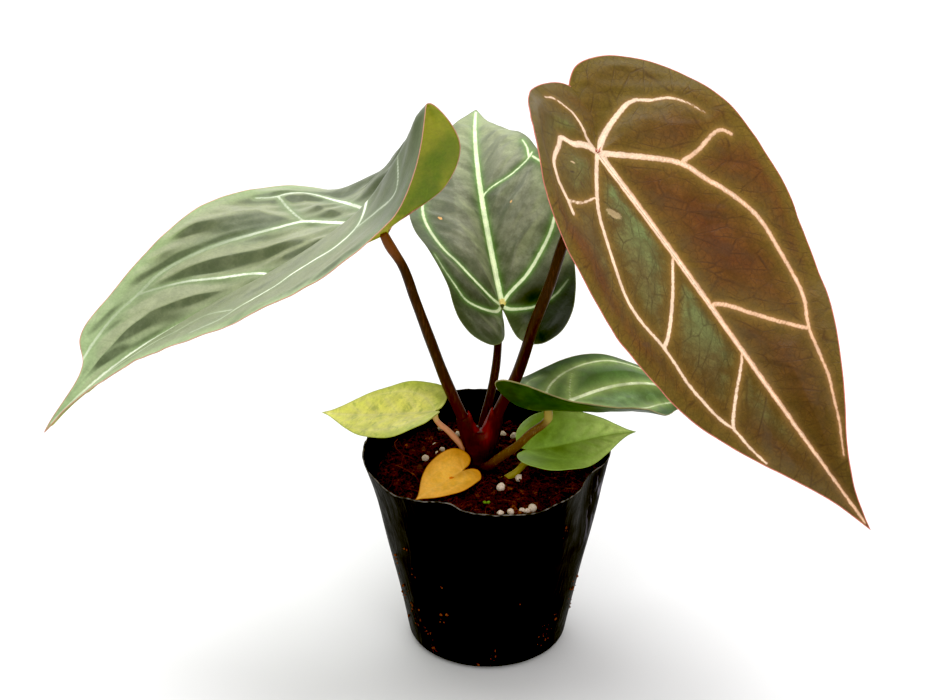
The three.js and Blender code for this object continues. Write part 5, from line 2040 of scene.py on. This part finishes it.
    def chips(self) -> MeshData:
        """Strews bark chips and crumbs over the soil.

        Returns:
            All the chips in one mesh.
        """
        lumps = []
        for k, (x, y) in enumerate(self.spots(self.chip_count, *self.chip_reach)):
            size = 0.5 + 1.3 * self.random.random() ** 2.2
            long, flat = self.random.uniform(1.1, 2.3), self.random.uniform(0.35, 0.8)
            centre = np.array([x, y, self.height(x, y) + 0.7 + 0.25 * size])
            level = 2 if size > 1.1 else 1
            lumps.append(self.lump(centre, (size * long, size, size * flat), 0.32, k, level))
        return merged(lumps)

    def beads(self) -> MeshData:
        """Places the white beads.

        Returns:
            All the beads in one mesh.
        """
        lumps = []
        for k, (x, y, radius) in enumerate(self.bead_places):
            centre = np.array([x, y, self.height(x, y) + 0.55 + 0.45 * radius])
            lumps.append(self.lump(centre, (radius, 0.95 * radius, 0.9 * radius), 0.2, 500 + k, 3))
        return merged(lumps)

    def fibres(self) -> MeshData:
        """Strews thin bent coir fibres, with the long ones that stand out.

        Returns:
            All the fibres in one mesh.
        """
        tubes = []
        t = np.linspace(-0.5, 0.5, 9)
        for x, y in self.spots(self.fibre_count, *self.fibre_reach):
            turn = self.random.uniform(0, FULL_TURN)
            length = self.random.uniform(*self.fibre_lengths)
            bend = self.random.uniform(-0.35, 0.35)
            fx = x + length * (t * math.cos(turn) - bend * t * t * math.sin(turn))
            fy = y + length * (t * math.sin(turn) + bend * t * t * math.cos(turn))
            keep = np.hypot(fx, fy) < self.fibre_end
            if keep.sum() < 4:
                continue
            fz = self.height(fx, fy) + 1.1 + self.random.uniform(-0.3, 0.9) * (1 - 4 * t * t)
            line = np.stack([fx, fy, fz], -1)[keep]
            radius = self.random.uniform(*self.fibre_radii)
            tubes.append(tube_data(line, np.linspace(radius, 0.5 * radius, len(line)), 5))
        for places in self.long_fibres:
            tubes.append(tube_data(curve_points(places, 30), np.linspace(0.3, 0.14, 30), 7))
        return merged(tubes)

    def sprout(self) -> MeshData:
        """Makes the tiny sprout of two leaves near the front.

        Returns:
            The mesh.
        """
        t = np.linspace(0, 1, 9)
        radii = 0.12 + 0.5 * np.sin(math.pi * t) ** 0.8
        leaves = (on_circle(1.6 * t, turn, t - 0.7 * t * t) for turn in (0.4, 2.7))
        return merged([tube_data(leaf + [-0.8, -31, 77.6], radii, 10) for leaf in leaves])

    def build(self) -> list[Piece]:
        """Makes the soil and its litter.

        Returns:
            The pieces, the soil first.
        """
        soil = make_object("soil_body", self.body(), SOIL_MIX.material())
        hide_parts("soil")
        pieces = [soil]
        pieces.append(make_object("bark_chips", self.chips(), BARK.material()))
        pieces.append(make_object("coir_fibres", self.fibres(), FIBRE.material()))
        pieces.append(make_object("white_beads", self.beads(), BEAD.material()))
        pieces.append(make_object("sprout", self.sprout(), SPROUT.material()))
        for piece in pieces:
            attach(piece, "root")
        return pieces


@dataclass(frozen=True)
class PotCrumbs:
    """Coir crumbs stuck to the outside of the pot, in groups of (angle, height, count, spread)."""

    pot: Pot
    groups: tuple[Four, ...] = (
        (-2.44, 54, 3, 1), (-2.71, 43, 7, 2), (-2.4, 43, 3, 1), (-2.07, 42, 2, 1),
        (-2.72, 27, 12, 5), (-2.53, 22, 14, 5), (-2.34, 13, 10, 4), (-2.28, 6, 8, 2),
        (-2.09, 22, 5, 4), (-0.81, 65, 5, 1.5), (-0.4, 30, 10, 4), (-0.14, 16, 8, 5),
        (-0.75, 18, 8, 4), (-0.9, 13, 8, 4), (-1.5, 8, 6, 3), (-1.7, 2, 2, 2), (-1.3, 36, 1, 2),
        (0.8, 30, 5, 12), (2.2, 40, 6, 14), (1.5, 20, 4, 8),
    )
    random: np.random.Generator = field(default_factory=lambda: np.random.default_rng(23))

    def build(self, soil: Soil) -> Piece:
        """Scatters the crumbs in loose groups.

        Args:
            soil: Makes the lumps.

        Returns:
            The crumbs.
        """
        lumps = []
        for angle, z, count, spread in self.groups:
            for k in range(count):
                a = angle + self.random.normal(0, spread / 90)
                h = np.clip(z + self.random.normal(0, spread), 3, 70)
                centre = on_circle(self.pot.radius(h, a) + 0.12, a, h)
                size = 0.22 + 0.6 * self.random.random() ** 2.5
                lumps.append(soil.lump(centre, (size, 0.5 * size, 0.9 * size), 0.35, 900 + k, 1))
        piece = make_object("pot_crumbs", merged(lumps), CRUMB.material())
        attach(piece, "root")
        return piece


# Studio


@dataclass(frozen=True)
class Studio:
    """A pale floor, soft lights, a white surround and the camera, placed in metres."""

    camera_place: Point = (-0.0086, -0.7735, 0.5065)
    camera_tilt: float = 64.0
    lens: float = 84.42
    sensor: float = 36.0
    floor_half: float = 12.0
    sky: float = 0.85
    sun_power: float = 2.2
    sun_spread: float = 40.0
    sun_turn: Point = (-15.0, -6.0, 0.0)
    back: float = 16.0
    fill: float = 11.0
    aim: float = 0.12
    black: Point = (0.009, 0.010, 0.014)

    def build(self) -> None:
        """Makes the camera, the floor, the surround and the lights."""
        self.camera()
        self.floor()
        self.surround()
        self.sun()
        self.light("back_light", (-0.3, 1.7, 0.9), (3.0, 1.1), self.back)
        self.light("fill_light", (0.5, -1.6, 1.3), (1.2, 1.0), self.fill)
        view = bpy.context.scene.view_settings
        view.view_transform = "Standard"
        view.look = "None"
        view.exposure = 0.0
        view.gamma = 1.0
        view.use_curve_mapping = True
        view.curve_mapping.black_level = self.black

    def camera(self) -> None:
        """Makes the camera at the photograph's viewing angle."""
        data = bpy.data.cameras.new("camera")
        data.lens = self.lens
        data.sensor_width = self.sensor
        data.clip_start, data.clip_end = 0.05, 60.0
        camera = linked("camera", data)
        camera.location = self.camera_place
        camera.rotation_euler = (math.radians(self.camera_tilt), 0.0, 0.0)
        bpy.context.scene.camera = camera

    def floor(self) -> None:
        """Makes the plain pale floor."""
        h = self.floor_half
        mesh = bpy.data.meshes.new("floor")
        corners = [(-h, -h, 0), (h, -h, 0), (h, h, 0), (-h, h, 0)]
        mesh.from_pydata(corners, [], [(0, 1, 2, 3)])
        g = Graph("floor_paper")
        paper = g.mix(g.noise(g.place(), 400), (0.7, 0.7, 0.7, 1.0), (0.73, 0.73, 0.73, 1.0))
        g.set(Base_Color=paper, Roughness=0.9, Specular_IOR_Level=0.1)
        mesh.materials.append(g.material)
        floor = linked("floor", mesh)

    def surround(self) -> None:
        """Lights everything softly from a white surround."""
        world = bpy.data.worlds.new("surround")
        bpy.context.scene.world = world
        world.use_nodes = True
        backdrop = world.node_tree.nodes["Background"]
        backdrop.inputs["Color"].default_value = (1.0, 1.0, 1.0, 1.0)
        backdrop.inputs["Strength"].default_value = self.sky

    def sun(self) -> None:
        """Makes the broad soft light from above and behind that whitens the floor."""
        data = bpy.data.lights.new("sky_light", "SUN")
        data.energy = self.sun_power
        data.angle = math.radians(self.sun_spread)
        lamp = linked("sky_light", data)
        lamp.location = (0.0, 0.0, 2.0)
        lamp.rotation_euler = tuple(math.radians(turn) for turn in self.sun_turn)

    def light(self, name: str, place: Point, size: Pair, power: float) -> None:
        """Makes one soft area light that faces the plant.

        Args:
            name: Its name.
            place: Where it is, in metres.
            size: Its two sides, in metres.
            power: Its power, in watts.
        """
        data = bpy.data.lights.new(name, "AREA")
        data.shape = "RECTANGLE"
        data.size, data.size_y = size
        data.energy = power
        lamp = linked(name, data)
        x, y, z = place
        tilt = math.atan2(math.hypot(x, y), z - self.aim)
        lamp.location = place
        lamp.rotation_euler = (tilt, 0.0, math.atan2(y, x) + math.pi / 2)


def main() -> None:
    """Builds the studio and every piece, in order from the ground up."""
    logging.basicConfig(level=logging.INFO, format="%(name)s %(message)s")
    Studio().build()
    pot = Pot()
    pot.build(FILM)
    soil = Soil(pot)
    soil.build()
    PotCrumbs(pot).build(soil)
    Crown().build(CROWN_SKIN)
    for leaf in LEAVES:
        LeafBlade(leaf).build(LEAF_FINISHES[leaf.name])
        LeafStalk(leaf).build(STALK_FINISHES[leaf.name])


if __name__ == "__main__":
    main()
